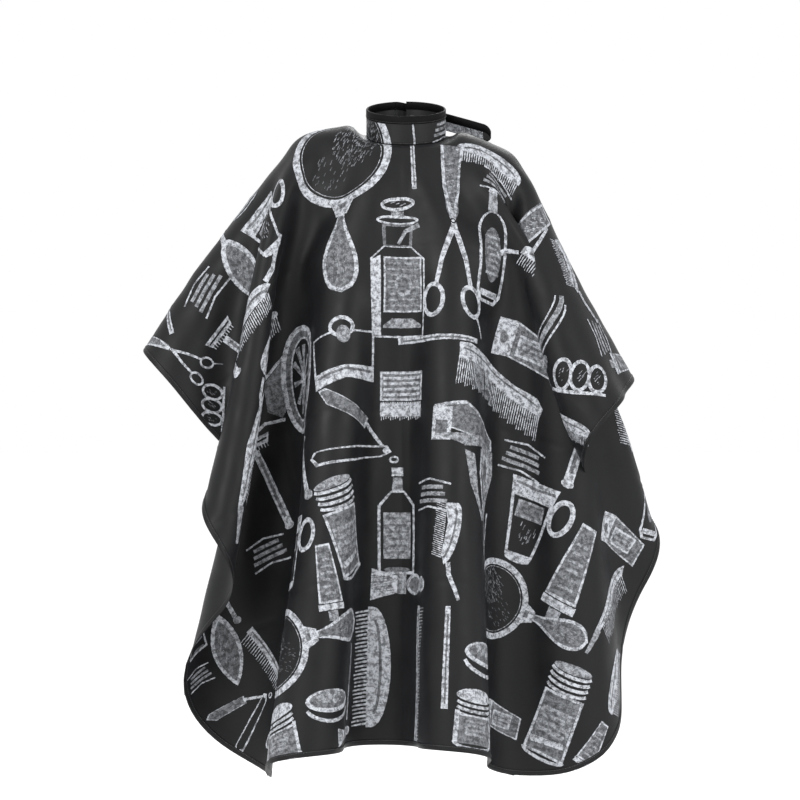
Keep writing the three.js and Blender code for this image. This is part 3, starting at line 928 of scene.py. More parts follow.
def arc(x, y, wide, high, start, stop, count=10):
    """Points along part of an ellipse, in degrees."""
    turns = [math.radians(mix(start, stop, k / count)) for k in range(count + 1)]
    return [(x + wide * math.cos(a), y + high * math.sin(a)) for a in turns]


def hand_mirror(d):
    d.ring(0, 60, 88, 88, 13)
    d.disc(0, 60, 71, 71, PALE)
    d.disc(0, 60, 70, 70, BARE)
    d.glints(22, 78, 42, 46, 170, 0.4, 60, 2)
    d.glints(-20, 40, 40, 40, 40, FAINT, 60, 13)
    d.glints(0, -24, 8, 3, 6, BARE, 20, 4)
    d.area([(-26, -18), (26, -18), (12, -48), (-12, -48)])
    d.area([(-9, -24), (9, -24), (4, -46), (-4, -46)], FAINT)
    d.area(paddle(0, -34, -186, 64))
    d.area(paddle(0, -50, -179, 50), FAINT)
    d.glints(0, -135, 18, 40, 50, MIDDLE, 85, 3)


def stoppered_bottle(d):
    d.ring(0, 112, 30, 12, 6, BARE, 6)
    d.glints(0, 112, 14, 4, 6, MIDDLE, 20, 5)
    d.box(-11, 86, 11, 100, MIDDLE)
    d.ring(0, 84, 37, 9, 5)
    d.area([(-27, 78), (27, 78), (25, 38), (-25, 38)], FAINT)
    d.area([(-20, 74), (22, 74), (20, 42), (-20, 42)], BARE)
    d.line([(38, 76), (14, 66), (2, 44)], 9, 5, MIDDLE)
    body = [(-24, 40), (24, 40), (48, 18), (48, -112), (-48, -112), (-48, 18)]
    d.outline(body, 3)
    d.area([(-46, 16), (-30, 24), (-30, -108), (-46, -108)])
    d.frame(-25, -70, 42, 22, 3, FAINT)
    d.rules(-20, 38, -64, 16, 8, 3, MIDDLE)
    d.disc(9, -24, 15, 19, MIDDLE)
    d.disc(9, -24, 10, 13, FAINT)
    d.area([(-26, -92), (-10, -80), (24, -80), (42, -92), (42, -96), (-26, -96)], MIDDLE)


def scissors(d):
    d.area([(-24, 142), (14, 142), (12, 20), (0, -8), (-10, 20)], FAINT)
    d.line([(-22, 142), (-12, 60), (4, -10)], 5, 9)
    d.line([(12, 142), (12, 60), (0, -10)], 3, 6)
    d.teeth((-12, 110), (-2, 20), (14, 6), 9, 2.5, MIDDLE)
    d.line([(2, -6), (-16, -60), (-24, -104)], 9, 7)
    d.line([(2, -6), (22, -60), (34, -104)], 9, 7)
    d.ring(-28, -128, 21, 28, 7)
    d.ring(38, -126, 20, 27, 7, BARE, 25)
    d.line([(52, -148), (62, -162), (70, -176)], 5, 2)
    d.disc(1, 2, 5, 5, BARE)
    d.disc(1, 2, 3, 3)


def round_brush(d):
    d.area(arc(0, -2, 62, 20, 0, 180, 14) + [(-62, -8), (62, -8)])
    d.line(arc(0, -2, 50, 9, 15, 165), 3, 3, FAINT)
    d.teeth((-60, -6), (60, -6), (2, -22), 30, 2.4)


def blank_plate(d):
    d.line([(-38, 20), (0, 26), (38, 18)], 3)
    d.line([(-38, -22), (0, -17), (38, -24)], 3)
    d.rules(-34, 34, -14, 18, 3, 6, MIDDLE)


def slim_bottle(d):
    d.disc(0, 92, 8, 9)
    d.area([(-7, 90), (7, 90), (8, 58), (-8, 58)], MIDDLE)
    body = arc(0, 20, 27, 40, 0, 180, 12) + [(-27, -78), (-18, -92), (18, -92), (27, -78)]
    d.outline(body, 5)
    d.disc(0, -12, 17, 46, FAINT)
    d.rules(-14, 14, -50, 22, 7, 4, MIDDLE)
    d.box(-19, -82, 19, -72)


def shaving_mug(d):
    d.area([(-44, 58), (40, 58), (34, 36), (-40, 36)])
    d.line([(-36, 50), (0, 47), (34, 50)], 4, 4, FAINT)
    d.outline([(-40, 36), (34, 36), (18, -58), (-24, -58)], 6)
    d.ring(50, 20, 20, 30, 8, BARE, -15)
    d.box(-26, 0, 20, 26, MIDDLE)
    d.box(-22, 4, 16, 22, FAINT)
    d.glints(-2, -24, 16, 20, 16, MIDDLE, 80, 6)
    d.disc(-3, -60, 20, 6)


def scent_bottle(d):
    d.ring(0, 84, 9, 9, 4)
    d.line([(0, 76), (-2, 40)], 6, 12)
    d.area(drop(0, 50, -78, 52, 0.95))
    d.area(drop(0, 36, -70, 38, 0.95), FAINT)
    d.glints(0, -20, 14, 36, 24, MIDDLE, 75, 8)


def handled_brush(d):
    d.line([(118, 66), (92, 48), (64, 26), (36, 16)], 9, 12)
    d.area(arc(-34, 2, 78, 24, 10, 175, 14) + [(-104, -28), (-60, -10), (20, -6)])
    d.line(arc(-34, -4, 66, 15, 20, 165), 5, 5, FAINT)
    d.teeth((-100, -22), (30, -4), (-4, -30), 26, 2.6)


def comb_brush(d):
    d.area(arc(0, 0, 72, 26, 5, 175, 14) + [(-72, -12), (0, -2), (70, 0)])
    d.line(arc(0, -5, 58, 15, 15, 165), 4, 4, FAINT)
    d.teeth((-70, -10), (68, 0), (-2, -28), 26, 2.4)
    d.line([(-76, -14), (-100, -30), (-112, -50)], 7, 12)


def strop_case(d):
    d.outline([(-60, 36), (-20, 40), (22, 40), (60, 38), (58, -40), (0, -34), (-54, -50)], 4.5)
    d.area([(-56, -26), (0, -14), (58, -18), (58, -42), (0, -34), (-52, -50)])
    d.line([(-48, -32), (0, -20), (52, -26)], 4, 4, FAINT)
    d.ring(0, 46, 22, 17, 6, BARE)
    d.disc(2, 34, 12, 14, MIDDLE)


def nail_file(d):
    d.line([(-78, -4), (0, 0), (78, 4)], 11, 8)
    d.line([(-70, -4), (0, 0), (66, 3)], 3, 3, FAINT)


def nail_brush(d):
    d.frame(-40, -10, 42, 38, 4, FAINT)
    for level in range(4):
        d.line([(-34, 0 + 9 * level), (36, 1 + 9 * level)], 4.5, 4.5)
    d.box(-40, -36, 40, -14)
    d.teeth((-40, -12), (40, -12), (0, -30), 20, 2.6)


def wide_comb(d):
    spine = [(-104, 48), (-84, 52), (-30, 50), (0, 38), (40, 26), (84, 20), (100, 8)]
    foot = [(98, -8), (40, 2), (0, 16), (-40, 26), (-100, 22)]
    d.area(spine + foot)
    d.line([(-96, 40), (-30, 40), (0, 30), (88, 8)], 3, 3, FAINT)
    d.teeth((-102, 26), (-30, 26), (2, -48), 18, 2.4)
    d.teeth((-28, 24), (98, -6), (4, -44), 30, 2.4)


def open_razor(d):
    d.outline([(-62, 62), (-48, 64), (34, 14), (24, -2), (-50, 38)], 4, FAINT)
    d.line([(28, 8), (52, -18), (66, -34)], 7, 5)
    d.outline([(-88, -44), (-80, -34), (0, -28), (70, -28), (76, -38), (60, -46), (-78, -58)], 5)
    d.ring(80, -50, 8, 6, 3)
    d.disc(66, -36, 4, 4)


def hair_dryer(d):
    d.area([(-50, 40), (10, 78), (10, 20), (-30, -20), (-52, -4)], FAINT)
    d.line([(-96, 2), (-52, 44), (12, 82)], 5, 5)
    d.line([(-90, -34), (-60, -20), (-26, -24)], 5, 5)
    d.area([(-100, 8), (-88, 12), (-82, -30), (-94, -36)], MIDDLE)
    d.ring(22, 22, 44, 84, 8, FAINT, -6)
    d.ring(24, 22, 30, 66, 3, BARE, -6)
    for k in range(10):
        a = TURN * k / 10
        d.line([(24, 22), (24 + 24 * math.cos(a), 22 + 56 * math.sin(a))], 3, 9, MIDDLE)
    d.disc(24, 22, 8, 12)
    d.line([(30, -62), (36, -110), (48, -170)], 8, 10)
    d.disc(36, -82, 9, 5)
    d.disc(50, -174, 9, 8, MIDDLE)


def clipper(d):
    d.outline([(-68, 58), (-20, 68), (60, 30), (66, 2), (20, 12), (-64, 30)], 5, FAINT)
    d.box(-70, 8, -40, 56)
    d.box(-64, 14, -46, 36, FAINT)
    d.area([(-66, 16), (-20, 4), (-4, -50), (30, -96), (54, -90), (72, -20), (66, 14), (20, 24)], MIDDLE)
    d.area([(-30, 0), (0, -6), (14, -60), (30, -84), (40, -60), (20, 10)], BARE)
    d.line([(20, 6), (18, -30), (36, -80)], 8, 6)
    d.disc(44, -20, 17, 24)
    d.disc(44, -20, 11, 17, FAINT)
    d.line([(46, -88), (50, -130), (60, -170)], 15, 12, MIDDLE)
    d.line([(46, -100), (54, -160)], 4, 4)


def long_comb(d):
    d.area([(-112, 16), (112, 12), (112, -2), (-112, 2)])
    d.line([(-106, 10), (0, 9), (106, 6)], 3, 3, FAINT)
    d.teeth((-110, 3), (110, 0), (2, -20), 46, 2)


def straight_comb(d):
    d.area([(-84, -58), (-76, -68), (58, 44), (62, 66), (44, 60), (-20, 16)])
    d.line([(-70, -54), (0, 14), (52, 54)], 3, 3, FAINT)
    d.teeth((-66, -60), (58, 44), (20, -40), 30, 2.2)
    d.area([(-84, -58), (-120, -110), (-114, -114), (-72, -70)], MIDDLE)


def safety_razor(d):
    d.area([(-32, 74), (32, 74), (26, 60), (-26, 60)])
    d.line([(-26, 67), (26, 67)], 3, 3, BARE)
    d.teeth((-26, 60), (26, 60), (0, -7), 10, 2)
    d.line([(0, 54), (4, 0), (10, -78)], 12, 15)
    d.line([(2, 44), (4, 0), (8, -64)], 5, 6, FAINT)
    d.disc(10, -80, 10, 6)


def jar(d):
    d.disc(0, 38, 42, 12)
    for level in range(3):
        d.line(arc(0, 30 - 9 * level, 42, 10, 200, 340), 5, 5)
    d.area([(-42, 2), (42, 2), (40, -44), (-40, -44)], FAINT)
    d.line(arc(0, -40, 41, 12, 180, 360), 5, 5)
    d.box(-42, -42, -34, 12)
    d.box(36, -42, 42, 12)
    d.box(-22, -30, 24, -4, MIDDLE)
    d.rules(-18, 20, -28, -6, 3, 3, FAINT)


def tonic_bottle(d):
    d.box(-10, 78, 10, 92)
    d.area([(-8, 76), (8, 76), (10, 52), (-10, 52)], MIDDLE)
    d.outline([(-12, 54), (12, 54), (34, 30), (34, -84), (-34, -84), (-34, 30)], 5)
    d.box(-24, -58, 24, 18, MIDDLE)
    d.rules(-20, 20, -54, 14, 6, 4, FAINT)
    d.disc(0, -76, 24, 4, FAINT)


def tube(d):
    d.area([(-16, 88), (16, 88), (30, -44), (-30, -44)], MIDDLE)
    d.outline([(-16, 88), (16, 88), (30, -44), (-30, -44)], 5, FAINT)
    d.box(-32, -60, 32, -46)
    d.box(-12, -84, 12, -62, MIDDLE)
    d.rules(-14, 14, -30, 60, 6, 5, MIDDLE)


def shaving_brush(d):
    d.area([(-70, 30), (-74, -30), (-20, -16), (-20, 16)])
    d.teeth((-30, 14), (-30, -14), (-42, 4), 9, 2, FAINT)
    d.box(-20, -18, 0, 18, MIDDLE)
    d.ring(26, 0, 26, 20, 6, FAINT)
    d.ring(62, 0, 18, 15, 5, MIDDLE)


def soap_box(d):
    d.area([(-64, 34), (-34, 38), (-34, -24), (-64, -30)])
    d.outline([(-34, 38), (58, 18), (62, -34), (-34, -24)], 4, FAINT)
    d.frame(-22, -18, 36, 18, 4, MIDDLE)
    d.rules(-16, 30, -10, 10, 2, 4, FAINT)
    d.disc(-48, 4, 7, 10, FAINT)


def curved_strop(d):
    d.line(arc(-30, 0, 30, 90, -80, 80), 14, 10, MIDDLE)
    d.line(arc(-44, 0, 30, 84, -70, 70), 3, 3)
    d.line(arc(-14, 0, 30, 84, -75, 75), 4, 4)
    d.ring(34, -70, 32, 16, 5)
    d.disc(30, -40, 12, 20, MIDDLE)


def travel_razor(d):
    d.box(-30, 8, 14, 90, FAINT)
    d.outline([(-30, 4), (-26, 92), (14, 86), (18, 8)], 5, FAINT)
    d.glints(-6, 46, 16, 34, 34, PALE, 60, 12)
    d.line([(16, 66), (34, 10), (52, -50)], 6, 9)
    d.ring(54, -66, 17, 17, 7)


def curlers(d):
    for k in range(3):
        d.ring(-32 + 30 * k, -6 + 9 * k, 19, 27, 6, BARE, 10)
        d.glints(-32 + 30 * k, -6 + 9 * k, 9, 14, 8, MIDDLE, 70, 20 + k)
    d.line([(-54, -38), (0, -26), (50, -10)], 6, 5)


def soap_dish(d):
    d.disc(0, 8, 54, 22)
    d.disc(0, 10, 46, 16, FAINT)
    d.disc(-4, 16, 30, 12, MIDDLE)
    d.line(arc(0, 0, 54, 30, 195, 345), 7, 7)
    d.glints(0, 12, 34, 10, 16, PALE, 10, 9)


def canister(d):
    d.disc(0, 84, 38, 9, MIDDLE)
    for level in range(4):
        d.line(arc(0, 80 - 11 * level, 40, 10, 190, 350), 6, 6)
    d.outline([(-40, 34), (40, 34), (42, -88), (-42, -88)], 5, FAINT)
    d.line(arc(0, -84, 42, 12, 180, 360), 6, 6)
    d.box(-34, -46, 34, 4, MIDDLE)
    d.rules(-28, 28, -42, 0, 3, 5, FAINT)
    d.area([(-36, -60), (30, -52), (34, -62), (-34, -72)], PALE)


# Each drawing, where its middle is on the flat cloth in millimetres, its turn and its size.
LAYOUT = [
    # the chest and the shoulders
    (hand_mirror, -112, -140, 0, 1.0), (stoppered_bottle, -12, -288, 0, 1.0),
    (scissors, 84, -205, 0, 1.05), (round_brush, 152, -60, -4, 1.05),
    (blank_plate, 176, -112, -8, 1.0), (slim_bottle, 160, -232, 0, 1.05),
    (nail_file, 12, -92, 92, 0.75), (travel_razor, 285, -132, -6, 0.9),
    (comb_brush, 276, -242, -24, 0.86), (handled_brush, 395, -90, -32, 0.64),
    (nail_file, 420, -18, 10, 0.8), (round_brush, 490, -8, -20, 0.85),
    # the wearer's right sleeve
    (shaving_mug, -290, -126, 8, 1.0), (scent_bottle, -378, -112, -4, 1.05),
    (blank_plate, -452, -112, 20, 1.05), (handled_brush, -352, -242, 8, 0.86),
    (comb_brush, -330, -326, 14, 0.95), (safety_razor, -464, -246, 12, 1.0),
    (scissors, -562, -150, 16, 0.5), (curlers, -562, -268, 30, 0.75),
    (nail_file, -520, -70, 66, 0.8), (round_brush, -425, 0, 30, 0.8),
    (soap_dish, -312, -25, 10, 0.6), (blank_plate, -560, -372, 8, 0.85),
    # below the chest
    (strop_case, -118, -430, 0, 1.05), (nail_file, 66, -402, 0, 1.0),
    (soap_box, 258, -380, -6, 1.0), (wide_comb, 205, -466, -6, 1.0),
    (nail_brush, -4, -494, 0, 1.0), (hair_dryer, -262, -458, 0, 1.1),
    (open_razor, -105, -548, 0, 1.05), (clipper, 150, -580, 0, 1.15),
    (straight_comb, -456, -448, 4, 1.0), (safety_razor, -348, -576, 8, 1.05),
    # the wearer's left sleeve
    (curved_strop, 425, -216, 0, 0.84), (curlers, 522, -218, 20, 1.0),
    (round_brush, 545, -300, 24, 0.85), (soap_dish, 345, -300, -10, 0.7),
    (blank_plate, 502, -118, -24, 0.9), (tube, 562, -92, -20, 0.6),
    # the lap
    (safety_razor, 380, -484, -10, 1.15), (blank_plate, 285, -560, -6, 1.05),
    (handled_brush, 474, -455, -72, 0.8), (blank_plate, -378, -690, 6, 1.0),
    (canister, -142, -708, 16, 0.88), (tonic_bottle, -15, -706, 0, 1.0),
    (blank_plate, 72, -662, 0, 1.05), (hair_dryer, -508, -640, 0, 0.8),
    (shaving_mug, -268, -730, -4, 0.95), (tube, -186, -798, 4, 0.72),
    (shaving_mug, 318, -654, -4, 1.12), (tube, 412, -722, -12, 1.0),
    (handled_brush, 112, -745, -100, 0.66), (shaving_brush, 2, -806, 0, 0.88),
    (hand_mirror, 326, -802, 82, 0.76), (slim_bottle, 560, -532, 6, 0.9),
    (soap_box, 516, -632, -8, 0.82), (straight_comb, 520, -732, 20, 0.74),
    (nail_brush, -424, -566, 10, 0.62), (tonic_bottle, -564, -738, 6, 0.78),
    (nail_file, 228, -708, 84, 0.55),
    # the hem
    (hand_mirror, -252, -884, 98, 0.82), (round_brush, -56, -942, -91, 1.6),
    (long_comb, 48, -962, 88, 1.08), (nail_file, 130, -922, 90, 1.05),
    (soap_dish, -198, -992, 0, 0.85), (soap_dish, 208, -915, 0, 0.9),
    (jar, 192, -1014, 0, 0.95), (jar, -302, -1026, 6, 0.95),
    (nail_brush, 260, -1002, 88, 0.55), (canister, 442, -946, -8, 0.9),
    (scent_bottle, -500, -806, 0, 1.0), (shaving_brush, -150, -1044, 4, 0.5),
    (long_comb, -412, -905, -64, 1.0), (blank_plate, -562, -846, 10, 0.7),
    (open_razor, -508, -926, 40, 0.7), (soap_box, 340, -985, -4, 0.7),
    (round_brush, 548, -868, 78, 0.95), (nail_file, -122, -962, 86, 0.8),
    (tube, 512, -990, -20, 0.55), (soap_dish, -448, -988, 30, 0.5),
    # the back
    (scissors, 150, 215, 178, 0.95), (slim_bottle, 240, 120, 4, 0.95),
    (hand_mirror, -255, 215, 176, 0.85), (wide_comb, -112, 368, 4, 0.88),
    (tonic_bottle, -132, 205, 2, 0.95), (nail_brush, -55, 130, 0, 0.75),
    (jar, 42, 330, -8, 0.9), (open_razor, 282, 384, 0, 0.82),
    (hair_dryer, 345, 262, 0, 0.85), (shaving_mug, 452, 130, 10, 0.95),
    (soap_box, 470, 330, 0, 0.95), (blank_plate, 340, 92, 0, 0.95),
    (clipper, -400, 325, 0, 0.8), (tube, -368, 100, 6, 0.8),
    (round_brush, -480, 170, 30, 0.95), (curlers, -510, 330, 0, 0.95),
    (round_brush, 545, 200, 90, 0.85), (soap_dish, -535, 30, 80, 0.8),
    (nail_file, 560, 20, 90, 0.9), (nail_file, 85, 110, 60, 0.7),
    (safety_razor, -324, 372, 20, 0.7), (safety_razor, 40, 205, -10, 0.8),
    (blank_plate, -150, 66, 6, 0.85), (comb_brush, -562, 245, 70, 0.7),
    (nail_brush, 560, 370, 10, 0.75), (blank_plate, -450, 74, 4, 1.0),
    (soap_dish, 122, 22, 0, 0.7),
]
COLLAR_LAYOUT = [            # millimetres round from the front and up from the neck seam
    (nail_file, 12, 26, 92, 0.30), (hand_mirror, -112, -70, 0, 1.0), (blank_plate, 78, 20, 0, 0.8),
    (round_brush, 132, 18, 0, 0.7),
]
TAIL_LAYOUT = [              # millimetres along the tab and up
    (round_brush, 62, 8, 178, 0.5), (wide_comb, 128, 8, 180, 0.42),
]
INK_PROUD = 0.00045
INK_STEP = 0.005
ROUGH_STEP = 2.6             # millimetres between the points of a hand-drawn edge
ROUGH_DEPTH = 0.35


def hand_drawn(points, chance):
    """The same outline with the slight unevenness of chalk."""
    rough = []
    for start, end in zip(points, points[1:] + points[:1]):
        count = max(1, int(math.dist(start, end) / ROUGH_STEP))
        for k in range(count):
            x, y = mix(start[0], end[0], k / count), mix(start[1], end[1], k / count)
            shift = chance.uniform(-ROUGH_DEPTH, ROUGH_DEPTH, 2)
            rough.append((x + shift[0], y + shift[1]))
    return rough


def placed(draw, x, y, turn, size, chance):
    """The areas of one drawing on the flat cloth, in metres."""
    drawing = Drawing()
    draw(drawing)
    cos, sin = math.cos(math.radians(turn)), math.sin(math.radians(turn))
    areas = []
    for ink, points in drawing.areas:
        moved = []
        for px, py in hand_drawn([(a * size, b * size) for a, b in points], chance):
            moved.append(((x + px * cos - py * sin) * MM, (y + px * sin + py * cos) * MM))
        areas.append((ink, moved))
    return areas


def inked_triangles(areas, fields):
    """Cut one drawing into small triangles, and give each the ink of the topmost area it is in.

    Only what is inside one of the fields, which are plain outlines, is kept.
    """
    corners = np.concatenate([np.array(points) for _, points in areas])
    low = np.floor(corners.min(0) / INK_STEP).astype(int)
    high = np.ceil(corners.max(0) / INK_STEP).astype(int)
    grid = [
        (i * INK_STEP, j * INK_STEP)
        for i in range(low[0], high[0] + 1) for j in range(low[1], high[1] + 1)
    ]
    points, faces = list(grid), []
    for outline in [points for _, points in areas] + fields:
        faces.append(list(range(len(points), len(points) + len(outline))))
        points += outline
    flat, _, triangles, _, _, within = delaunay_2d_cdt(points, [], faces, 0, 1e-7)
    kept, inks = [], []
    first_field = len(areas)
    for triangle, inside in zip(triangles, within):
        layers = [k for k in inside if k < first_field]
        if layers and max(inside) >= first_field:
            ink = areas[max(layers)][0]
            if ink > 0:
                kept.append(triangle)
                inks.append(ink)
    return np.array([tuple(p) for p in flat]), kept, inks


def print_mesh(name, surface, layout, fields_near, material):
    """All the drawings of a layout as one thin layer of ink on a surface."""
    chance = np.random.default_rng(11)
    all_points, all_flat, all_faces, all_inks, count = [], [], [], [], 0
    for entry in layout:
        areas = placed(*entry, chance)
        flat, triangles, inks = inked_triangles(areas, fields_near)
        if not triangles:
            continue
        used, faces = np.unique(np.array(triangles), return_inverse=True)
        middle = flat[np.array(triangles)].mean(1)
        faces = faces.reshape(-1, 3)
        side = np.zeros(len(used))
        np.add.at(side, faces.reshape(-1), np.repeat(np.sign(middle[:, 0]), 3) * NUDGE)
        at = flat[used]
        all_points.append(surface(at[:, 0] + side * (np.abs(at[:, 0]) < 1e-6), at[:, 1], INK_PROUD))
        all_flat.append(at)
        all_faces.append(faces + count)
        all_inks += inks
        count += len(used)
    return add_mesh(
        name, np.concatenate(all_points), np.concatenate(all_faces).tolist(), material,
        np.concatenate(all_flat), all_inks,
    )


def cape_fields():
    """The printed part of the flat cloth: its two halves, without the neck."""
    inner = NECK_RADIUS * 1.02
    outline = [p for p in cut_edge(step=0.05) if p[0] >= 0 and math.hypot(*p) > inner]
    for turn in np.radians(np.arange(-90, 91, 7.5)):
        point = (inner * math.cos(turn), inner * math.sin(turn))
        if math.dist(point, outline[-1]) > 1e-4:
            outline.append(point)
    return [anticlockwise(outline), anticlockwise([(-u, v) for u, v in outline])]


# ---- materials --------------------------------------------------------------------------------
class Look:
    """A material, with a short way to add each kind of node that these materials use."""

    def __init__(self, name, **settings):
        self.material = bpy.data.materials.new(name)
        self.material.use_nodes = True
        self.tree = self.material.node_tree
        self.surface = self.tree.nodes["Principled BSDF"]
        for socket, value in settings.items():
            self.surface.inputs[socket.replace("_", " ")].default_value = value

    def node(self, kind, inputs, **settings):
        """A new node. Each input is a value, or the socket that feeds it."""
        made = self.tree.nodes.new(kind)
        for key, value in settings.items():
            setattr(made, key, value)
        for socket, value in inputs.items():
            if isinstance(value, bpy.types.NodeSocket):
                self.tree.links.new(value, made.inputs[socket])
            else:
                made.inputs[socket].default_value = value
        return made

    def flat_place(self):
        return self.node("ShaderNodeUVMap", {}, uv_map="flat").outputs["UV"]

    def place(self):
        return self.node("ShaderNodeTexCoord", {}).outputs["Object"]

    def noise(self, place, scale, detail, roughness=0.5):
        inputs = {"Vector": place, "Scale": scale, "Detail": detail, "Roughness": roughness}
        return self.node("ShaderNodeTexNoise", inputs).outputs["Fac"]

    def ridges(self, place, scale, direction, distortion=0.0):
        inputs = {"Vector": place, "Scale": scale, "Distortion": distortion}
        return self.node("ShaderNodeTexWave", inputs, bands_direction=direction).outputs["Fac"]

    def weave(self, place):
        """Crossing threads: the higher of two sets of ridges."""
        scale = TURN / (20 * THREAD_PERIOD)
        warp, weft = (self.ridges(place, scale, direction, 0.4) for direction in "XY")
        return self.combined("MAXIMUM", warp, weft)

    def ramp(self, source, low, high, first=0.0, last=1.0):
        """A value that runs from `low` to `high` as the source goes from first to last."""
        inputs = {
            "Value": source, "From Min": first, "From Max": last, "To Min": low, "To Max": high,
        }
        return self.node("ShaderNodeMapRange", inputs).outputs["Result"]

    def combined(self, operation, first, second):
        made = self.node("ShaderNodeMath", {0: first, 1: second}, operation=operation, use_clamp=True)
        return made.outputs[0]

    def paint(self, share, dark, light):
        """Colour the surface with a share of each of two colours."""
        inputs = {0: share, 6: (*dark, 1), 7: (*light, 1)}
        made = self.node("ShaderNodeMix", inputs, data_type="RGBA")
        self.tree.links.new(made.outputs[2], self.surface.inputs["Base Color"])

    def roughen(self, source, low, high, first=0.0, last=1.0):
        rough = self.ramp(source, low, high, first, last)
        self.tree.links.new(rough, self.surface.inputs["Roughness"])

    def bump(self, height, strength, distance):
        inputs = {"Height": height, "Strength": strength, "Distance": distance}
        made = self.node("ShaderNodeBump", inputs)
        self.tree.links.new(made.outputs["Normal"], self.surface.inputs["Normal"])


THREAD_PERIOD = 0.0009
CLOTH_DARK = (0.0048, 0.0049, 0.0054)
CLOTH_LIGHT = (0.0105, 0.0107, 0.0116)
INK_COLOUR = (0.50, 0.52, 0.56)


def cloth_material():
    look = Look(
        "black_polyester", Specular_IOR_Level=0.18, Sheen_Weight=0.025, Sheen_Roughness=0.45,
        Sheen_Tint=(0.62, 0.65, 0.72, 1),
    )
    place = look.flat_place()
    mottle = look.noise(place, 22, 4)
    streak = look.noise(place, 260, 3)
    shade = look.combined("ADD", look.ramp(mottle, 0, 0.6), look.ramp(streak, 0, 0.4))
    look.paint(shade, CLOTH_DARK, CLOTH_LIGHT)
    look.roughen(mottle, 0.40, 0.56, 0.3, 0.7)
    look.bump(look.weave(place), 0.16, 0.0002)
    return look.material


def ink_material():
    look = Look("printed_ink", Specular_IOR_Level=0.3)
    place = look.flat_place()
    tone = look.node("ShaderNodeAttribute", {}, attribute_name="tone").outputs["Fac"]
    coarse = look.noise(place, 120, 6, 0.72)
    fine = look.noise(place, 520, 3, 0.7)
    patches = look.ramp(coarse, 0.22, 1.0, 0.42, 0.58)
    specks = look.ramp(fine, 0.45, 1.0, 0.38, 0.58)
    share = look.combined("MULTIPLY", look.combined("MULTIPLY", patches, specks), tone)
    look.paint(look.combined("MULTIPLY", share, 1.4), CLOTH_LIGHT, INK_COLOUR)
    look.roughen(fine, 0.5, 0.75)
    look.bump(look.weave(place), 0.12, 0.0002)
    return look.material


def tape_material():
    look = Look("black_binding_tape", Specular_IOR_Level=0.1)
    place = look.flat_place()
    mottle = look.noise(place, 180, 3)
    look.paint(mottle, (0.0015, 0.0015, 0.0018), (0.0045, 0.0045, 0.005))
    look.roughen(mottle, 0.5, 0.75)
    look.bump(look.ridges(place, 250, "DIAGONAL", 0.3), 0.35, 0.0003)
    return look.material


def thread_material():
    look = Look("black_thread", Sheen_Weight=0.2)
    # painted shade: the thread is coloured darker in the grooves of its twist and lighter on the crests,
    # as light would fall on them
    painted_twist_shade = look.ridges(look.place(), 700, "DIAGONAL")
    look.paint(painted_twist_shade, (0.008, 0.008, 0.009), (0.030, 0.030, 0.033))
    look.roughen(painted_twist_shade, 0.45, 0.7)
    return look.material


def stiffener_material():
    look = Look("white_fleece_stiffener")
    fibres = look.noise(look.flat_place(), 600, 6, 0.8)
    look.paint(fibres, (0.55, 0.55, 0.53), (0.80, 0.80, 0.78))
    look.roughen(fibres, 0.8, 1.0)
    look.bump(fibres, 0.4, 0.0004)
    return look.material


def acetal_material():
    look = Look("black_acetal", Specular_IOR_Level=0.5)
    place = look.place()
    wear = look.noise(place, 420, 5)
    look.paint(wear, (0.010, 0.010, 0.011), (0.026, 0.026, 0.028))
    look.roughen(wear, 0.22, 0.45)
    look.bump(look.noise(place, 2400, 3), 0.12, 0.0001)
    return look.material


def floor_material():
    look = Look("pale_floor", Specular_IOR_Level=0.2, Emission_Color=(1, 1, 1, 1), Emission_Strength=0.2)
    mottle = look.noise(look.place(), 1.5, 3)
    look.paint(mottle, (0.86, 0.86, 0.86), (0.90, 0.90, 0.90))
    look.roughen(mottle, 0.7, 0.9)
    return look.material


CLOTH = cloth_material()
INK = ink_material()
TAPE = tape_material()
THREAD = thread_material()
STIFFENER = stiffener_material()
ACETAL = acetal_material()

# ---- the cape ---------------------------------------------------------------------------------
drape = Drape()
cape = cloth_mesh(drape, CLOTH)
hem = hem_mesh(drape, CLOTH)
hem_thread = hem_stitches(drape, THREAD)
cape_print = print_mesh("cape_print", drape, LAYOUT, cape_fields(), INK)
seam = neck_seam(CLOTH)
for piece in (cape, hem, hem_thread, cape_print, seam):
    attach(piece, "cape")
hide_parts("cape_panel")
flat_area = 4 * HALF_WIDTH * (FRONT_LENGTH + BACK_LENGTH) / 2 - math.pi * NECK_RADIUS**2
flat_area -= (2 - math.pi / 2) * (FRONT_CORNER**2 + BACK_CORNER**2)

# ---- the band, its tab and its tail -----------------------------------------------------------
LAYERS = {
    "lining": (flat_layer(LINING_OUT, FACE_THICKNESS, 0.0), CLOTH, "printed_cloth"),
    "stiffener": (flat_layer(STIFFENER_OUT, STIFFENER_THICKNESS, 0.001), STIFFENER, "stiffener"),
    "outer": (flat_layer(OUTER_OUT, FACE_THICKNESS, 0.0), CLOTH, "printed_cloth"),
    "binding": (binding_layer, TAPE, "binding"),
}
BAND_MIDDLE = BAND_HEIGHT / 2
JOINTS = {                   # the two bodies on either side of a segment, and where along it they meet; nothing is joined or bent by them
    "tab": ("cape", "tab", 0.0, 0.012),
    "tail": ("tab", "tail", TAB_LENGTH, TAB_LENGTH + 0.012),
}


def on_path(along):
    foot, _, _ = tab_place(np.array([along]))
    return tuple(foot[0] + UP * BAND_MIDDLE)


def move_with(piece, segment):
    if segment == "neckband":
        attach(piece, "cape")
        return
    before, after, start, stop = JOINTS[segment]
    on_path(start)
    on_path(stop)
    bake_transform(piece)


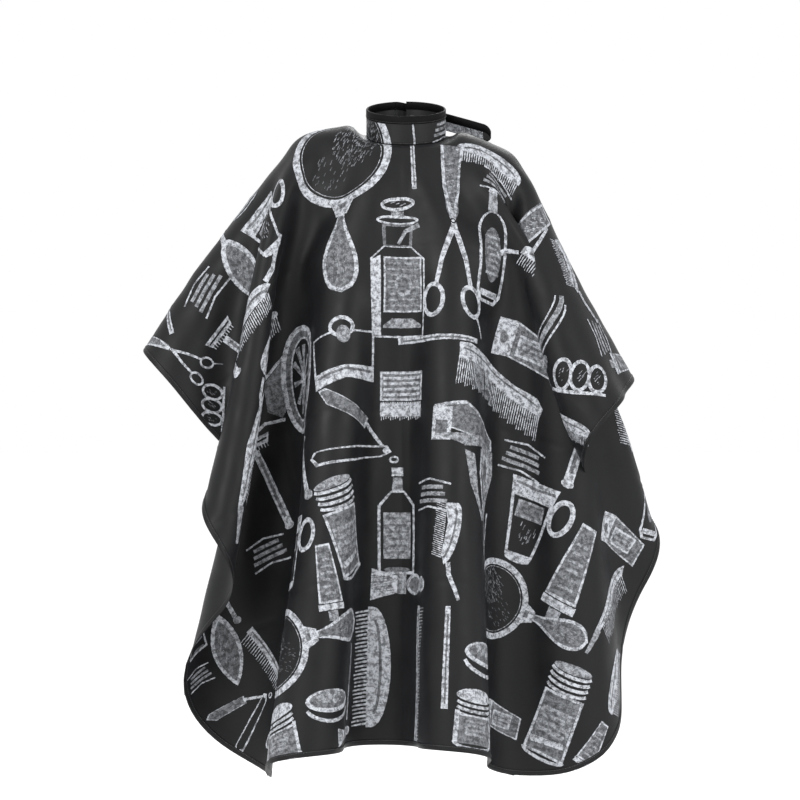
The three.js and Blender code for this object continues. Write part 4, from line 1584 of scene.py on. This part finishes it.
band_print_fields = {
    "neckband": [[(-0.19, 0.002), (0.14, 0.002), (0.14, 0.035), (-0.19, 0.035)]],
    "tail": [[(TAB_LENGTH + 0.001, 0.001), (TAB_LENGTH + 0.100, 0.001),
              (TAB_LENGTH + 0.100, 0.0155), (TAB_LENGTH + 0.001, 0.0155)]],
}
for segment in SEGMENTS:
    for layer, (outline, material, slot) in LAYERS.items():
        piece = swept_layer(f"{segment}_{layer}_sewn", segment, outline, material)
        move_with(piece, segment)
        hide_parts(f"{segment}_{layer}")
    move_with(band_stitches(segment, THREAD), segment)


def round_from_front(along, up, proud=0.0):
    """The band's outer face, measured from the front towards the wearer's left."""
    return on_band(band_place)(-np.asarray(along), up, proud)


collar_print = print_mesh(
    "neckband_print", round_from_front, COLLAR_LAYOUT, band_print_fields["neckband"], INK
)
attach(collar_print, "cape")
for side, inner in (("outer", False), ("inner", True)):
    tail_print = print_mesh(
        f"tail_{side}_print", on_band(tab_place, inner), TAIL_LAYOUT, band_print_fields["tail"], INK
    )
    move_with(tail_print, "tail")

for name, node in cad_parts.items():
    if "stud" in name or "socket" in name:
        node.data.materials.clear()
        node.data.materials.append(ACETAL)
        edges = node.modifiers.new("rounded_edges", "BEVEL")
        edges.width = 0.00018
        edges.segments = 2
        edges.limit_method = "ANGLE"
        edges.angle_limit = math.radians(35)

# ---- the studio -------------------------------------------------------------------------------
FLOOR_HEIGHT = -1.45         # where the wearer would stand


def soft_light(name, place, aim, size, power):
    data = bpy.data.lights.new(name, "AREA")
    data.shape = "RECTANGLE"
    data.size, data.size_y = size
    data.energy = power
    light = bpy.data.objects.new(name, data)
    light.location = place
    direction = np.subtract(aim, place)
    tilt = math.atan2(math.hypot(direction[0], direction[1]), -direction[2])
    light.rotation_euler = (tilt, 0, math.atan2(-direction[0], direction[1]))
    bpy.context.collection.objects.link(light)


floor = add_mesh(
    "studio_floor",
    [(-40, -40, FLOOR_HEIGHT), (40, -40, FLOOR_HEIGHT), (40, 40, FLOOR_HEIGHT), (-40, 40, FLOOR_HEIGHT)],
    [(0, 1, 2, 3)], floor_material(),
)
floor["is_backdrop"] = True
world = bpy.data.worlds.new("pale_studio")
world.use_nodes = True
world.node_tree.nodes["Background"].inputs["Color"].default_value = (1, 1, 1, 1)
world.node_tree.nodes["Background"].inputs["Strength"].default_value = 1.0
bpy.context.scene.world = world
soft_light("key_light", (-2.2, -3.2, 1.8), (0, 0, -0.4), (1.6, 1.6), 90)
soft_light("fill_light", (2.6, -2.6, 0.8), (0, 0, -0.5), (1.6, 2.0), 45)
soft_light("back_light", (0.6, 3.0, 2.2), (0, 0, -0.3), (2.0, 1.2), 60)

camera_data = bpy.data.cameras.new("camera")
camera_data.sensor_width = 36
camera_data.lens = 104.65
camera = bpy.data.objects.new("camera", camera_data)
camera.location = (-0.0103, -4.0, -0.43)
camera.rotation_euler = (math.radians(90), 0, 0)
bpy.context.collection.objects.link(camera)
bpy.context.scene.camera = camera
bpy.context.scene.view_settings.view_transform = "Standard"

visual_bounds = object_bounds()
sizes = {"cad": cad_bounds, "visual": visual_bounds}
{key: [list(map(float, corner)) for corner in box] for key, box in sizes.items()}
